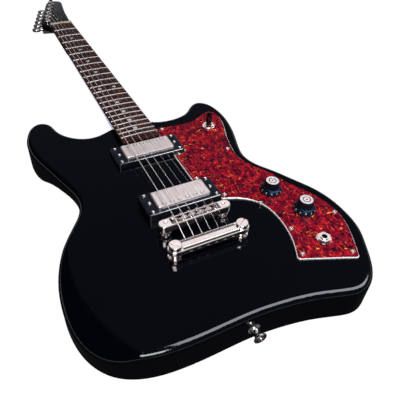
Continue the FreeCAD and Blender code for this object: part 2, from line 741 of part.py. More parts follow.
def make_pickguard():
    plate = slab(guard_wire(), TOP, GUARD_TOP)
    tips = [GUARD_FOOT[0], GUARD_FOOT[-1]]
    sharp = [(v.X, v.Y) for v in plate.Vertexes if min(math.hypot(v.X - x, v.Y - y) for x, y in tips) > 9]
    plate = plate.makeFillet(4.0, upright_edges(plate, tips))
    plate = plate.makeFillet(1.6, upright_edges(plate, sharp, 0.1))
    rim = [e for e in plate.Edges if e.BoundBox.ZMin > GUARD_TOP - 0.01]
    plate = plate.makeChamfer(1.1, rim)
    for x, y in KNOB_PLACES.values():
        plate = plate.cut(cyl(4.75, (x, y, TOP - 1), 5))
    plate = plate.cut(cyl(6.0, (TOGGLE_AT[0], TOGGLE_AT[1], TOP - 1), 5))
    plate = plate.cut(cyl(4.8, (JACK_AT[0], JACK_AT[1], TOP - 1), 5))
    for x, y in GUARD_SCREWS:
        plate = plate.cut(cyl(1.0, (x, y, TOP - 1), 5))
    return plate


def panel_screws():
    """Small round-head screws of the pickguard and the pickup rings."""
    parts = [screw(x, y, GUARD_TOP, 2.6, 1.0, 10.0) for x, y in GUARD_SCREWS]
    for y, height in ((NECK_PICKUP_Y, NECK_RING_H), (BRIDGE_PICKUP_Y, BRIDGE_RING_H)):
        for sx in (-1, 1):
            for sy in (-1, 1):
                at = (sx * RING_SCREW[0], y + sy * RING_SCREW[1])
                parts.append(screw(at[0], at[1], TOP + height, 2.2, 1.0, height + 8.0))
    return group(parts)


# ---- pickups ----
PICKUPS = {
    "neck": (NECK_PICKUP_Y, NECK_COVER_TOP, NECK_RING_H, 9.5),
    "bridge": (BRIDGE_PICKUP_Y, BRIDGE_COVER_TOP, BRIDGE_RING_H, -9.5),
}
COVER_H = 17.4
PICKUP_TRAVEL = 2.0


def pickup_ring(name):
    """Mounting ring: a tapered frame, hollow round the height screws."""
    y, _, height, _ = PICKUPS[name]
    foot = box(-RING_HALF_L, RING_HALF_L, -RING_HALF_W, RING_HALF_W, 0, height)
    upright = [e for e in foot.Edges if e.BoundBox.ZLength > height - 1 and e.BoundBox.XLength < 1]
    frame = foot.makeFillet(3.5, upright)
    rim = [e for e in frame.Edges if e.BoundBox.ZMin > height - 0.01]
    frame = frame.makeFillet(2.0, rim)
    half_l = PICKUP_L / 2 + COVER_GAP
    half_w = PICKUP_W / 2 + COVER_GAP
    window = box(-half_l, half_l, -half_w, half_w, -1, height + 1)
    window = window.makeFillet(4.0, [e for e in window.Edges if e.BoundBox.ZLength > height])
    frame = frame.cut(window)
    for side in (-1, 1):
        frame = frame.cut(cyl(3.9, (side * HEIGHT_SCREW_X, 0, -1), height - 1.6))
        frame = frame.cut(cyl(1.45, (side * HEIGHT_SCREW_X, 0, -1), height + 3))
        for sy in (-1, 1):
            frame = frame.cut(cyl(1.0, (side * RING_SCREW[0], sy * RING_SCREW[1], -1), height + 3))
    frame.translate(V(0, y, TOP))
    return frame


def pole_points(name):
    y, _, _, row = PICKUPS[name]
    return [(-2.5 * POLE_STEP + k * POLE_STEP, y + row) for k in range(6)]


def pickup_cover(name):
    y, top, _, _ = PICKUPS[name]
    half_l, half_w = PICKUP_L / 2, PICKUP_W / 2
    shell = box(-half_l, half_l, y - half_w, y + half_w, top - COVER_H, top)
    shell = shell.makeFillet(3.4, [e for e in shell.Edges if e.BoundBox.ZLength > 10])
    shell = shell.makeFillet(1.6, [e for e in shell.Edges if e.BoundBox.ZMin > top - 0.01])
    room = box(-half_l + 0.8, half_l - 0.8, y - half_w + 0.8, y + half_w - 0.8, top - COVER_H - 1, top - 0.9)
    room = room.makeFillet(2.8, [e for e in room.Edges if e.BoundBox.ZLength > 10])
    shell = shell.cut(room)
    for x, py in pole_points(name):
        shell = shell.cut(cyl(2.7, (x, py, top - 3), 5))
    return shell


def pickup_core(name):
    """Base plate, magnet and two wound bobbins under the cover."""
    y, top, _, row = PICKUPS[name]
    base = top - COVER_H
    plate = box(-PICKUP_L / 2, PICKUP_L / 2, y - PICKUP_W / 2, y + PICKUP_W / 2, base - 1.2, base)
    legs = box(-44.5, 44.5, y - 5.0, y + 5.0, base - 1.2, base)
    plate = fuse([plate, legs])
    for side in (-1, 1):
        plate = plate.cut(cyl(1.2, (side * HEIGHT_SCREW_X, y, base - 3), 5))
    magnet = box(-30, 30, y - 3.0, y + 3.0, base, base + 3.2)
    parts = [magnet]
    lift = base + 3.4
    for sign in (-1, 1):
        middle = y + sign * abs(row)
        half = 3.6
        coil = channel([(-27, middle), (27, middle)], half, lift, top - 2.4)
        flange = channel([(-27.5, middle), (27.5, middle)], half + 0.6, lift, lift + 1.0)
        lid = channel([(-27.5, middle), (27.5, middle)], half + 0.6, top - 2.6, top - 1.4)
        bobbin = fuse([coil, flange, lid])
        if sign * row > 0:
            for x, py in pole_points(name):
                bobbin = bobbin.cut(cyl(1.6, (x, py, base - 1), COVER_H))
                plate = plate.cut(cyl(1.6, (x, py, base - 3), 5))
        parts.append(bobbin)
    return group([plate] + parts)


def pole_screws(name):
    _, top, _, _ = PICKUPS[name]
    parts = []
    for x, y in pole_points(name):
        head = cyl(2.3, (x, y, top - 1.3), 1.6)
        head = head.cut(box(x - 3, x + 3, y - 0.4, y + 0.4, top - 0.5, top + 1))
        shank = cyl(1.6, (x, y, top - COVER_H - 1.0), COVER_H)
        parts.append(fuse([head, shank]))
    return group(parts)


def height_screws():
    parts = []
    for y, top, height, _ in PICKUPS.values():
        base = top - COVER_H
        for side in (-1, 1):
            length = TOP + height - base + 6.0
            parts.append(screw(side * HEIGHT_SCREW_X, y, TOP + height, 2.2, 1.15, length))
    return group(parts)


def pickup_springs(name):
    """Springs between the pickup's legs and the ring, one plain turned sleeve per screw."""
    y, top, height, _ = PICKUPS[name]
    base = top - COVER_H
    free = TOP + height - 2.7 - base
    return group([tube(2.6, 1.6, (side * HEIGHT_SCREW_X, y, base), free) for side in (-1, 1)])


# ---- bridge ----
def make_beam():
    """Bridge beam with a trough for the saddles, turned on by half-round ends."""
    half_l = 39.0
    block = channel([(-half_l, 0), (half_l, 0)], BEAM_HALF_W, BEAM_BOTTOM, BEAM_TOP)
    rim = [e for e in block.Edges if e.BoundBox.ZMin > BEAM_TOP - 0.01]
    block = block.makeFillet(1.2, rim)
    trough = box(-31.3, 31.3, -TROUGH_HALF_W, TROUGH_HALF_W, BEAM_BOTTOM + 2.0, BEAM_TOP + 1)
    block = block.cut(trough)
    for side in (-1, 1):
        block = block.cut(cyl(2.6, (side * BRIDGE_POST_X, 0, BEAM_BOTTOM - 1), 30))
    for index in range(6):
        x = saddle_rest(index)[0]
        block = block.cut(cyl(SADDLE_SCREW_R + 0.05, (x, -20, SADDLE_SCREW_Z), 40, (0, 1, 0)))
    return placed(block, BRIDGE)


SADDLE_SCREW_Z = BEAM_TOP - 3.0


def saddle_ridge_z(index):
    """Height of a saddle's ridge: just under its string."""
    path = string_path(index)
    over = NECK.multVec(path[1])
    return over.z - STRING_D[index] / 2 - GAP


def make_saddle(index):
    x, y = saddle_rest(index)
    ridge = saddle_ridge_z(index)
    low = BEAM_BOTTOM + 2.0 + GAP
    profile = [(-SADDLE_HALF_L, low), (SADDLE_HALF_L, low), (SADDLE_HALF_L, BEAM_TOP - 0.8), (0.35, ridge),
               (-0.35, ridge), (-SADDLE_HALF_L, BEAM_TOP - 0.8)]
    corners = [V(x - SADDLE_HALF_W, y + dy, z) for dy, z in profile]
    face = Part.Face(Part.makePolygon(corners + corners[:1]))
    saddle = face.extrude(V(2 * SADDLE_HALF_W, 0, 0))
    for side in (-1, 1):
        outer = x + side * SADDLE_HALF_W
        shoulder = [V(outer, y - 5, ridge - 2.2), V(outer, y - 5, ridge + 3),
                    V(x + side * 1.2, y - 5, ridge + 3), V(x + side * 1.6, y - 5, ridge + 0.01)]
        wedge = Part.Face(Part.makePolygon(shoulder + shoulder[:1]))
        saddle = saddle.cut(wedge.extrude(V(0, 10, 0)))
    saddle = saddle.cut(cyl(SADDLE_SCREW_R + 0.08, (x, y - 10, SADDLE_SCREW_Z), 20, (0, 1, 0)))
    return placed(saddle, BRIDGE)


def saddle_screws():
    """Intonation screws: slotted heads on the neck side, shanks across the trough."""
    parts = []
    for index in range(6):
        x = saddle_rest(index)[0]
        shank = cyl(SADDLE_SCREW_R, (x, -BEAM_HALF_W, SADDLE_SCREW_Z), 2 * BEAM_HALF_W, (0, 1, 0))
        head = cyl(2.2, (x, BEAM_HALF_W, SADDLE_SCREW_Z), 1.6, (0, 1, 0))
        slot = box(x - 3, x + 3, BEAM_HALF_W + 0.9, BEAM_HALF_W + 3, -0.35, 0.35)
        slot.translate(V(0, 0, SADDLE_SCREW_Z))
        head = head.cut(slot)
        parts.append(fuse([shank, head]))
    return placed(group(parts), BRIDGE)


def bridge_posts():
    """Threaded posts with knurled thumbwheels that carry the beam."""
    parts = []
    for side in (-1, 1):
        x = side * BRIDGE_POST_X
        post = cyl(2.5, (x, 0, TOP - 16), BEAM_TOP - 0.6 - TOP + 16)
        wheel = cyl(7.0, (x, 0, BEAM_BOTTOM - 2.6), 2.6)
        for k in range(24):
            notch = cyl(0.45, (x + 7.1, 0, BEAM_BOTTOM - 3), 4)
            notch.rotate(V(x, 0, 0), V(0, 0, 1), k * 15)
            wheel = wheel.cut(notch)
        slot = box(x - 3, x + 3, -0.5, 0.5, BEAM_TOP - 1.6, BEAM_TOP)
        parts.append(fuse([post, wheel]).cut(slot))
    return placed(group(parts), BRIDGE)


def post_bushings():
    parts = []
    for side in (-1, 1):
        bush = fuse([tube(4.5, 2.5, (side * BRIDGE_POST_X, 0, TOP - 18), 18),
                     tube(6.0, 2.5, (side * BRIDGE_POST_X, 0, TOP), 0.8)])
        parts.append(placed(bush, BRIDGE))
        stud = fuse([tube(6.0, 4.0, (side * STUD_X, TAIL_Y, TOP - 24), 24),
                     tube(8.0, 4.0, (side * STUD_X, TAIL_Y, TOP), 1.0)])
        parts.append(stud)
    return group(parts)


# ---- tailpiece ----
BAR_HALF_L = 50.0
BAR_HALF_W = 8.0
BAR_Z0 = TOP + 4.6
BAR_Z1 = TOP + 15.4
LUG_Z0 = BAR_Z0 + 2.6
LUG_Z1 = BAR_Z0 + 8.4
STUD_NECK_R = 3.6


def make_tailpiece():
    """Stop bar with a rounded back, open slots for the studs and six string holes."""
    z_mid = (BAR_Z0 + BAR_Z1) / 2
    rise = (BAR_Z1 - BAR_Z0) / 2
    section = Part.Wire([Part.Ellipse(V(0, 0, 0), BAR_HALF_W, rise).toShape()])
    core = Part.Face(section).extrude(V(0, 0, 67))
    core.rotate(V(0, 0, 0), V(0, 0, 1), 90)
    core.rotate(V(0, 0, 0), V(0, 1, 0), 90)
    core.translate(V(-33.5, TAIL_Y, z_mid))
    lug_x = BAR_HALF_L - BAR_HALF_W
    lugs = channel([(-lug_x, TAIL_Y), (lug_x, TAIL_Y)], BAR_HALF_W, LUG_Z0, LUG_Z1)
    lugs = lugs.makeFillet(1.0, [e for e in lugs.Edges if e.BoundBox.ZLength < 0.01])
    bar = fuse([core, lugs])
    for side in (-1, 1):
        x = side * STUD_X
        bar = bar.cut(cyl(STUD_NECK_R, (x, TAIL_Y, 0), 100))
        bar = bar.cut(box(x - STUD_NECK_R, x + STUD_NECK_R, TAIL_Y, TAIL_Y + 20, 0, 100))
    for index in range(6):
        path = string_path(index)
        hole = placed(rod_between(path[0], path[1], 1.1, 12.0), NECK)
        way = V(path[1].sub(path[0])).normalize()
        seat = path[0].sub(V(way).multiply(15.0))
        pocket = placed(Part.makeCylinder(2.1, 15.0, seat, way), NECK)
        bar = bar.cut(hole).cut(pocket)
    return bar


def tailpiece_studs():
    """Large slotted studs: a wide head over a neck, a lower flange and a thread."""
    parts = []
    for side in (-1, 1):
        x = side * STUD_X
        thread = cyl(4.0, (x, TAIL_Y, TOP - 20), LUG_Z0 - TOP + 20)
        flange = cyl(7.0, (x, TAIL_Y, LUG_Z0 - 2.4), 2.4)
        waist = cyl(STUD_NECK_R, (x, TAIL_Y, LUG_Z0), LUG_Z1 - LUG_Z0)
        head = cyl(7.2, (x, TAIL_Y, LUG_Z1), STUD_TOP - LUG_Z1)
        head = head.makeFillet(1.0, [e for e in head.Edges if e.BoundBox.ZMin > STUD_TOP - 0.01])
        slot = box(x - 9, x + 9, TAIL_Y - 0.9, TAIL_Y + 0.9, STUD_TOP - 2.4, STUD_TOP + 1)
        slot.rotate(V(x, TAIL_Y, 0), V(0, 0, 1), 35 * side)
        parts.append(fuse([thread, flange, waist, head.cut(slot)]))
    return group(parts)


# ---- controls ----
POT_BUSH_TOP = GUARD_TOP + 4.2
KNOB_FOOT = GUARD_TOP + 1.0
KNOB_TOP = TOP + 19.0


def make_knob(name):
    """Top-hat knob over the pot's nut, pressed on the shaft that turns with it."""
    x, y = KNOB_PLACES[name]
    height = KNOB_TOP - KNOB_FOOT
    outer = ((0, 0), (14.0, 0), (14.0, 1.6), (12.6, 4.6), (9.9, 6.2), (9.4, height - 1.0),
             (8.6, height), (0, height))
    knob = revolved(outer, (x, y), KNOB_FOOT)
    recess = cyl(8.4, (x, y, KNOB_FOOT - 1), 6.6)
    bore = cyl(3.0, (x, y, KNOB_FOOT - 1), height - 2.0)
    flutes = []
    for k in range(24):
        flute = cyl(0.5, (x + 9.95, y, KNOB_FOOT + 6.4), height)
        flute.rotate(V(x, y, 0), V(0, 0, 1), k * 15)
        flutes.append(flute)
    knob = knob.cut(recess).cut(bore)
    for flute in flutes:
        knob = knob.cut(flute)
    shaft = cyl(3.0, (x, y, TOP - 7.0), KNOB_FOOT - 1 + height - 2.0 - TOP + 7.0)
    disc = cyl(4.6, (x, y, TOP - 7.9), 0.9)
    return group([knob, fuse([shaft, disc])])


def pot_bodies():
    """Potentiometer cans with the threaded neck through the guard, and a hollow for the wiper."""
    parts = []
    for x, y in KNOB_PLACES.values():
        can = cyl(12.0, (x, y, TOP - 10.5), 10.3)
        can = can.makeFillet(1.0, [e for e in can.Edges if e.BoundBox.ZMax < TOP - 10.4])
        neck = cyl(4.7, (x, y, TOP - 1), POT_BUSH_TOP - TOP + 1)
        part = fuse([can, neck])
        part = part.cut(cyl(3.06, (x, y, TOP - 7.0), 20)).cut(cyl(5.0, (x, y, TOP - 8.3), 1.7))
        parts.append(part)
    return group(parts)


def control_nuts():
    """Nuts and washers of both pots, the switch and the jack."""
    parts = []
    for x, y in KNOB_PLACES.values():
        washer = tube(7.2, 4.7, (x, y, GUARD_TOP), 0.7)
        nut = hexagon(12.5, (x, y, GUARD_TOP + 0.7), 2.2).cut(cyl(4.7, (x, y, GUARD_TOP), 5))
        parts += [washer, nut]
    x, y = TOGGLE_AT
    parts.append(tube(9.0, 5.9, (x, y, GUARD_TOP), 0.7))
    ring = tube(7.6, 5.9, (x, y, GUARD_TOP + 0.7), 2.4)
    for k in range(30):
        notch = cyl(0.35, (x + 7.65, y, GUARD_TOP + 0.7), 3)
        notch.rotate(V(x, y, 0), V(0, 0, 1), k * 12)
        ring = ring.cut(notch)
    parts.append(ring)
    x, y = JACK_AT
    parts.append(tube(8.6, 4.7, (x, y, GUARD_TOP), 0.8))
    parts.append(hexagon(14.0, (x, y, GUARD_TOP + 0.8), 2.4).cut(cyl(4.7, (x, y, GUARD_TOP), 5)))
    return group(parts)


LEVER_PIVOT_Z = TOP - 1.0
LEVER_PIN_HALF_L = 4.4


def switch_body():
    """Selector switch: threaded neck, frame plate and contact stack below the guard."""
    x, y = TOGGLE_AT
    neck = cyl(5.9, (x, y, TOP - 2.0), GUARD_TOP + 3.1 - TOP + 2.0)
    plate = box(x - 9.5, x + 9.5, y - 13, y + 13, TOP - 4.0, TOP - 2.0)
    stack = box(x - 6, x + 6, y - 12, y + 12, TOP - 30, TOP - 4.0)
    part = fuse([neck, plate, stack])
    throat = Part.makeCone(2.9, 5.0, 9.0, V(x, y, LEVER_PIVOT_Z))
    part = part.cut(throat).cut(cyl(2.9, (x, y, LEVER_PIVOT_Z - 0.05), 0.1))
    part = part.cut(box(x - 3.3, x + 3.3, y - 7.5, y + 7.5, TOP - 18.5, LEVER_PIVOT_Z + 0.01))
    bore_half = LEVER_PIN_HALF_L + GAP
    return part.cut(cyl(1.06, (x - bore_half, y, LEVER_PIVOT_Z), 2 * bore_half, (1, 0, 0)))


def toggle_lever():
    """Lever with a ball on the pin that it tilts about."""
    x, y = TOGGLE_AT
    lever = cyl(1.9, (x, y, LEVER_PIVOT_Z - 15), 15 + 14)
    pivot = Part.makeSphere(2.6, V(x, y, LEVER_PIVOT_Z))
    pin = cyl(1.0, (x - LEVER_PIN_HALF_L, y, LEVER_PIVOT_Z), 2 * LEVER_PIN_HALF_L, (1, 0, 0))
    return fuse([lever, pivot, pin])


def toggle_tip():
    """Moulded tip: waisted cap with a round end."""
    x, y = TOGGLE_AT
    z = LEVER_PIVOT_Z + 9.0
    profile = ((0, 0), (3.6, 0), (4.1, 1.2), (3.9, 5.0), (4.6, 11.0), (4.7, 13.2), (3.6, 15.8),
               (1.6, 17.0), (0, 17.2))
    tip = revolved(profile, (x, y), z)
    return tip.cut(cyl(1.9, (x, y, z - 1), 6.0))


def make_jack():
    """Open-frame output jack: sleeve with the plug's bore, frame and contact springs."""
    x, y = JACK_AT
    sleeve = tube(4.7, JACK_BORE_R, (x, y, TOP - 8.0), GUARD_TOP + 4.2 - TOP + 8.0)
    flange = tube(8.0, JACK_BORE_R, (x, y, TOP - 3.0), 2.8)
    left = box(x - 9.5, x - 8.0, y - 4, y + 4, TOP - 26, TOP - 0.2)
    bridge = box(x - 9.5, x - 7.0, y - 4, y + 4, TOP - 3.0, TOP - 0.2)
    tip = box(x - 9.5, x - 4.4, y - 2.5, y + 2.5, TOP - 26, TOP - 25)
    spring = box(x - 5.4, x - 4.4, y - 2.5, y + 2.5, TOP - 25.0, TOP - 12)
    return fuse([sleeve, flange, bridge, left, tip, spring])


def make_wiring():
    """Capacitor between the pots and the runs of hook-up wire in the routes."""
    (xa, ya), (xb, yb), (xc, yc) = CONTROL_ROUTE
    z = TOP - 13.0
    runs = [
        [V(TOGGLE_AT[0], TOGGLE_AT[1] - 13.2, TOP - 11), V(92, 110, z), V(92, 60, z),
         V(xa - 4, ya + 13.5, z)],
        [V(xa + 4, ya - 13.5, z), V(xb - 5, yb + 14.5, z)],
        [V(xb, yb - 13.5, z), V(xc + 6, yc + 12.0, z - 4)],
        [V(47.5, NECK_PICKUP_Y - 3, z + 4), V(88, 113, z + 3)],
        [V(47.5, BRIDGE_PICKUP_Y + 1, z + 4), V(88, 57, z + 3)],
    ]
    wires = []
    for points in runs:
        rods = [rod_between(a, b, 0.9) for a, b in zip(points, points[1:])]
        joints = [Part.makeSphere(0.9, p) for p in points[1:-1]]
        wires.append(fuse(rods + joints))
    capacitor = box(xb - 9, xb + 9, yb + 16.5, yb + 20.5, TOP - 24, TOP - 16)
    capacitor.rotate(V(xb, yb, 0), V(0, 0, 1), 22)
    return group(wires + [capacitor])


# ---- write one file per node ----
def save(name, shape):
    shape.exportStep(os.path.join("parts", name + ".step"))


def main():
    os.makedirs("parts", exist_ok=True)
    blank = neck_blank()
    save("neck", make_neck(blank))
    save("body", make_body(blank))
    board, frets, dots = make_board_set()
    save("fretboard", board)
    save("frets", frets)
    save("position_dots", dots)
    save("nut", make_nut())
    save("truss_rod", make_truss_rod())
    save("truss_rod_cover", make_truss_cover())

    places = tuner_places()
    save("tuner_housings", group([placed(tuner_housing(), p) for p in places]))
    save("tuner_bushings", group([placed(tuner_bushing(), p) for p in places]))
    headstock_screws = [placed(tuner_screw(), p) for p in places]
    headstock_screws += [placed(screw(x, y, 1.8, 1.9, 0.9, 6.0), HEAD) for x, y in truss_cover_screw_points()]
    save("headstock_screws", group(headstock_screws))
    for index, place in enumerate(places):
        post = placed(tuner_post(), place)
        wraps = placed(string_wraps(index), place)
        save("tuner_post_%d" % (index + 1), group([post, wraps]))
        save("tuner_key_%d" % (index + 1), placed(tuner_key(), place))

    save("strings_wound", group([piece(k) for k in (0, 1, 2) for piece in (string_solid, ball_end)]))
    save("strings_plain", group([piece(k) for k in (3, 4, 5) for piece in (string_solid, ball_end)]))

    save("pickguard", make_pickguard())
    strap_screws = group([strap_screw(*p) for p in strap_places()])
    save("body_screws", group([panel_screws(), strap_screws]))
    for name in PICKUPS:
        save(name + "_pickup_ring", pickup_ring(name))
        save(name + "_pickup_cover", pickup_cover(name))
        save(name + "_pickup_core", pickup_core(name))
        save(name + "_pole_screws", pole_screws(name))
        save(name + "_pickup_springs", pickup_springs(name))
    save("pickup_height_screws", height_screws())

    save("bridge_beam", make_beam())
    for index in range(6):
        save("saddle_%d" % (index + 1), make_saddle(index))
    save("saddle_screws", saddle_screws())
    save("bridge_posts", bridge_posts())
    save("post_bushings", post_bushings())
    save("tailpiece", make_tailpiece())
    save("tailpiece_studs", tailpiece_studs())

    for name in KNOB_PLACES:
        save(name + "_knob", make_knob(name))
    save("pot_bodies", pot_bodies())
    save("control_nuts", control_nuts())
    save("switch_body", switch_body())
    save("toggle_lever", toggle_lever())
    save("toggle_tip", toggle_tip())
    save("output_jack", make_jack())
    save("wiring", make_wiring())

    buttons = [piece(*p) for p in strap_places() for piece in (strap_button, strap_washer)]
    save("strap_buttons", group(buttons))


main()
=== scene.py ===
import bpy
import json
import math
from mathutils import Matrix, Vector


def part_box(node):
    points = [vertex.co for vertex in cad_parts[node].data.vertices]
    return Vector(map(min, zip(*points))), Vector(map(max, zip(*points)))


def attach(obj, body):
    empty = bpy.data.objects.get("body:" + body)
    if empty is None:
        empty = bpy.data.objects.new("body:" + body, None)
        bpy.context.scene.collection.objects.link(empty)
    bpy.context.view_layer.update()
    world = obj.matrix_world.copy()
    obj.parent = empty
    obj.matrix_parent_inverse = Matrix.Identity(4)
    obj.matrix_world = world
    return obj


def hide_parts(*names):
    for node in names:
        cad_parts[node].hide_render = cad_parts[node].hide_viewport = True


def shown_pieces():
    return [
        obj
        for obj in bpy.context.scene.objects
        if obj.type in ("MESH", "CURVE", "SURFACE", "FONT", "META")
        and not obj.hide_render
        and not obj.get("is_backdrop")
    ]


# Looks of a solid-body electric guitar. Metres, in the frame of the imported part:
# +X treble side, +Y towards the headstock, +Z up, the back of the body on z = 0.

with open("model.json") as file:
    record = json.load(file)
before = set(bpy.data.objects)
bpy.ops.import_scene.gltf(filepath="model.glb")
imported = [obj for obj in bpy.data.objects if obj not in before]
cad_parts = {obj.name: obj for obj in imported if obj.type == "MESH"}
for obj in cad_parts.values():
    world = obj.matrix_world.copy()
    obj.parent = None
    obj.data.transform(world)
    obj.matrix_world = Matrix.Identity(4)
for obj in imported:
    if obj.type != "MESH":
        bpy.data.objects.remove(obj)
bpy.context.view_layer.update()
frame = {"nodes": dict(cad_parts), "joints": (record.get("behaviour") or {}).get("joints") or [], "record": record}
nodes = frame["nodes"]

BODY_TOP = 0.0445
GUARD_TOP = 0.047
CAP_DARK_BELOW = 0.06318           # a knob's cap is dark below this height, in its groove,
CAP_PALE_ABOVE = 0.06326           # and pale above this one


# ---- materials ----
class Graph:
    """Short ways to add shader nodes; place is the vector that textures start from."""

    def __init__(self, tree, coordinates):
        self.nodes, self.links = tree.nodes, tree.links
        self.place = self.nodes.new("ShaderNodeTexCoord").outputs[coordinates]

    def add(self, kind, inputs=None, **settings):
        node = self.nodes.new(kind)
        for key, value in settings.items():
            setattr(node, key, value)
        for key, value in (inputs or {}).items():
            if isinstance(value, bpy.types.NodeSocket):
                self.links.new(value, node.inputs[key])
            else:
                node.inputs[key].default_value = value
        return node

    def mapped(self, scale=(1, 1, 1), turn=(0, 0, 0), source=None):
        inputs = {"Vector": source or self.place, "Scale": scale, "Rotation": turn}
        return self.add("ShaderNodeMapping", inputs).outputs[0]

    def noise(self, scale, detail=3.0, roughness=0.5, source=None, distortion=0.0, colour=False):
        inputs = {"Vector": source or self.place, "Scale": scale, "Detail": detail, "Roughness": roughness,
                  "Distortion": distortion}
        return self.add("ShaderNodeTexNoise", inputs).outputs["Color" if colour else "Fac"]

    def cells(self, scale, source):
        return self.add("ShaderNodeTexVoronoi", {"Vector": source, "Scale": scale}).outputs["Distance"]

    def ramp(self, value, stops, interpolation="LINEAR"):
        node = self.add("ShaderNodeValToRGB", {"Fac": value})
        node.color_ramp.interpolation = interpolation
        while len(node.color_ramp.elements) < len(stops):
            node.color_ramp.elements.new(0.5)
        for element, (position, colour) in zip(node.color_ramp.elements, stops):
            element.position = position
            element.color = colour if len(colour) == 4 else (*colour, 1.0)
        return node.outputs["Color"]

    def grey(self, value, low, high, out_low=0.0, out_high=1.0):
        node = self.add("ShaderNodeMapRange", {"Value": value, "From Min": low, "From Max": high,
                                               "To Min": out_low, "To Max": out_high})
        return node.outputs[0]

    def mix(self, factor, a, b, blend="MIX"):
        node = self.add("ShaderNodeMix", data_type="RGBA", blend_type=blend)
        for index, value in ((0, factor), (6, a), (7, b)):
            if isinstance(value, bpy.types.NodeSocket):
                self.links.new(value, node.inputs[index])
            elif index == 0:
                node.inputs[index].default_value = value
            else:
                node.inputs[index].default_value = (*value, 1.0)
        return node.outputs[2]

    def math(self, operation, a, b):
        node = self.add("ShaderNodeMath", operation=operation)
        for index, value in ((0, a), (1, b)):
            if isinstance(value, bpy.types.NodeSocket):
                self.links.new(value, node.inputs[index])
            else:
                node.inputs[index].default_value = value
        return node.outputs[0]

    def axis(self, name):
        return self.add("ShaderNodeSeparateXYZ", {"Vector": self.place}).outputs[name]


class Surface(Graph):
    """A procedural material. Texture coordinates are the piece's own, in metres."""

    def __init__(self, name, colour, roughness, **sockets):
        self.material = bpy.data.materials.new(name)
        self.material.use_nodes = True
        super().__init__(self.material.node_tree, "Object")
        self.shader = self.nodes["Principled BSDF"]
        self.set("Base Color", (*colour, 1.0))
        self.set("Roughness", roughness)
        for key, value in sockets.items():
            self.set(key.replace("_", " "), value)

    def set(self, socket, value):
        target = self.shader.inputs[socket]
        if isinstance(value, bpy.types.NodeSocket):
            self.links.new(value, target)
        else:
            target.default_value = value

    def bump(self, height, distance, strength=1.0, under=None):
        inputs = {"Height": height, "Distance": distance, "Strength": strength}
        if under is not None:
            inputs["Normal"] = under
        return self.add("ShaderNodeBump", inputs).outputs[0]


def black_lacquer():
    s = Surface("black_lacquer", (0.0007, 0.0009, 0.0020), 0.06, Specular_IOR_Level=0.42)
    haze = s.noise(14, 4, 0.6)
    s.set("Base Color", s.mix(haze, (0.0004, 0.0006, 0.0015), (0.0009, 0.0011, 0.0025)))
    smudge = s.noise(38, 6, 0.62)
    s.set("Roughness", s.grey(smudge, 0.35, 0.75, 0.04, 0.12))
    peel = s.bump(s.noise(420, 2, 0.4), 0.000012)
    scratches = s.noise(900, 2, 0.5, s.mapped((1, 0.02, 1), (0, 0, 0.5)))
    s.set("Normal", s.bump(s.grey(scratches, 0.62, 0.75), 0.0000015, 1.0, peel))
    return s.material


def tortoise():
    """Celluloid: a deep crimson ground full of small bent chips, dark, red, orange and a few yellow."""
    s = Surface("tortoise", (0.3, 0.01, 0.02), 0.12, Specular_IOR_Level=0.3,
                Coat_Weight=0.25, Coat_Roughness=0.04)
    warp = s.noise(70, 3, 0.55, colour=True)
    shift = s.add("ShaderNodeVectorMath", {0: warp, 1: (0.5, 0.5, 0.5)}, operation="SUBTRACT").outputs[0]
    shift = s.add("ShaderNodeVectorMath", {0: shift, "Scale": 0.016}, operation="SCALE").outputs[0]
    bent = s.add("ShaderNodeVectorMath", {0: s.place, 1: shift}, operation="ADD").outputs[0]
    ground = s.noise(170, 5, 0.62, s.mapped((1.0, 0.6, 1.0), (0, 0, 0.45), bent), 0.4)
    colour = s.ramp(ground, (
        (0.30, (0.014, 0.0004, 0.004)), (0.40, (0.034, 0.0006, 0.008)), (0.47, (0.095, 0.0010, 0.011)),
        (0.54, (0.17, 0.0020, 0.013)), (0.62, (0.30, 0.005, 0.014)), (0.72, (0.46, 0.018, 0.013))))

    def chips(scale, stretch, turn, low, high, strength, tint, under):
        field = s.noise(scale, 2, 0.55, s.mapped(stretch, (0, 0, turn), bent), 0.2)
        return s.mix(s.grey(field, low, high, 0.0, strength), under, tint)

    colour = chips(330, (1.0, 0.34, 1.0), -0.62, 0.60, 0.66, 0.9, (0.017, 0.0005, 0.006), colour)
    colour = chips(300, (0.36, 1.0, 1.0), 0.35, 0.60, 0.66, 0.85, (0.42, 0.008, 0.016), colour)
    colour = chips(380, (1.0, 0.30, 1.0), 0.95, 0.62, 0.68, 0.9, (0.62, 0.040, 0.012), colour)
    colour = chips(420, (0.30, 1.0, 1.0), -0.35, 0.64, 0.70, 0.9, (0.020, 0.0005, 0.007), colour)
    colour = chips(410, (1.0, 0.30, 1.0), 0.10, 0.67, 0.72, 0.95, (0.78, 0.13, 0.015), colour)
    colour = chips(340, (0.20, 1.0, 1.0), 0.62, 0.68, 0.73, 0.95, (0.90, 0.34, 0.03), colour)
    clouds = s.noise(30, 3, 0.5, bent)
    colour = s.mix(s.grey(clouds, 0.55, 0.75, 0.0, 0.72), colour, (0.045, 0.001, 0.009))
    height = s.axis("Z")
    layer = s.ramp(s.grey(height, BODY_TOP, GUARD_TOP), (
        (0.0, (0.012, 0.012, 0.013)), (0.20, (0.60, 0.61, 0.60)), (0.50, (0.016, 0.016, 0.017)),
        (0.62, (0.74, 0.75, 0.74)), (0.90, (0.16, 0.003, 0.012))), "CONSTANT")
    face_below, face_above = 0.00012, 0.00006
    on_top = s.grey(height, GUARD_TOP - face_below, GUARD_TOP - face_above)
    s.set("Base Color", s.mix(on_top, layer, colour))
    s.set("Roughness", s.grey(s.noise(60, 5, 0.6), 0.3, 0.75, 0.07, 0.2))
    s.set("Normal", s.bump(s.noise(240, 2, 0.5), 0.00001))
    return s.material


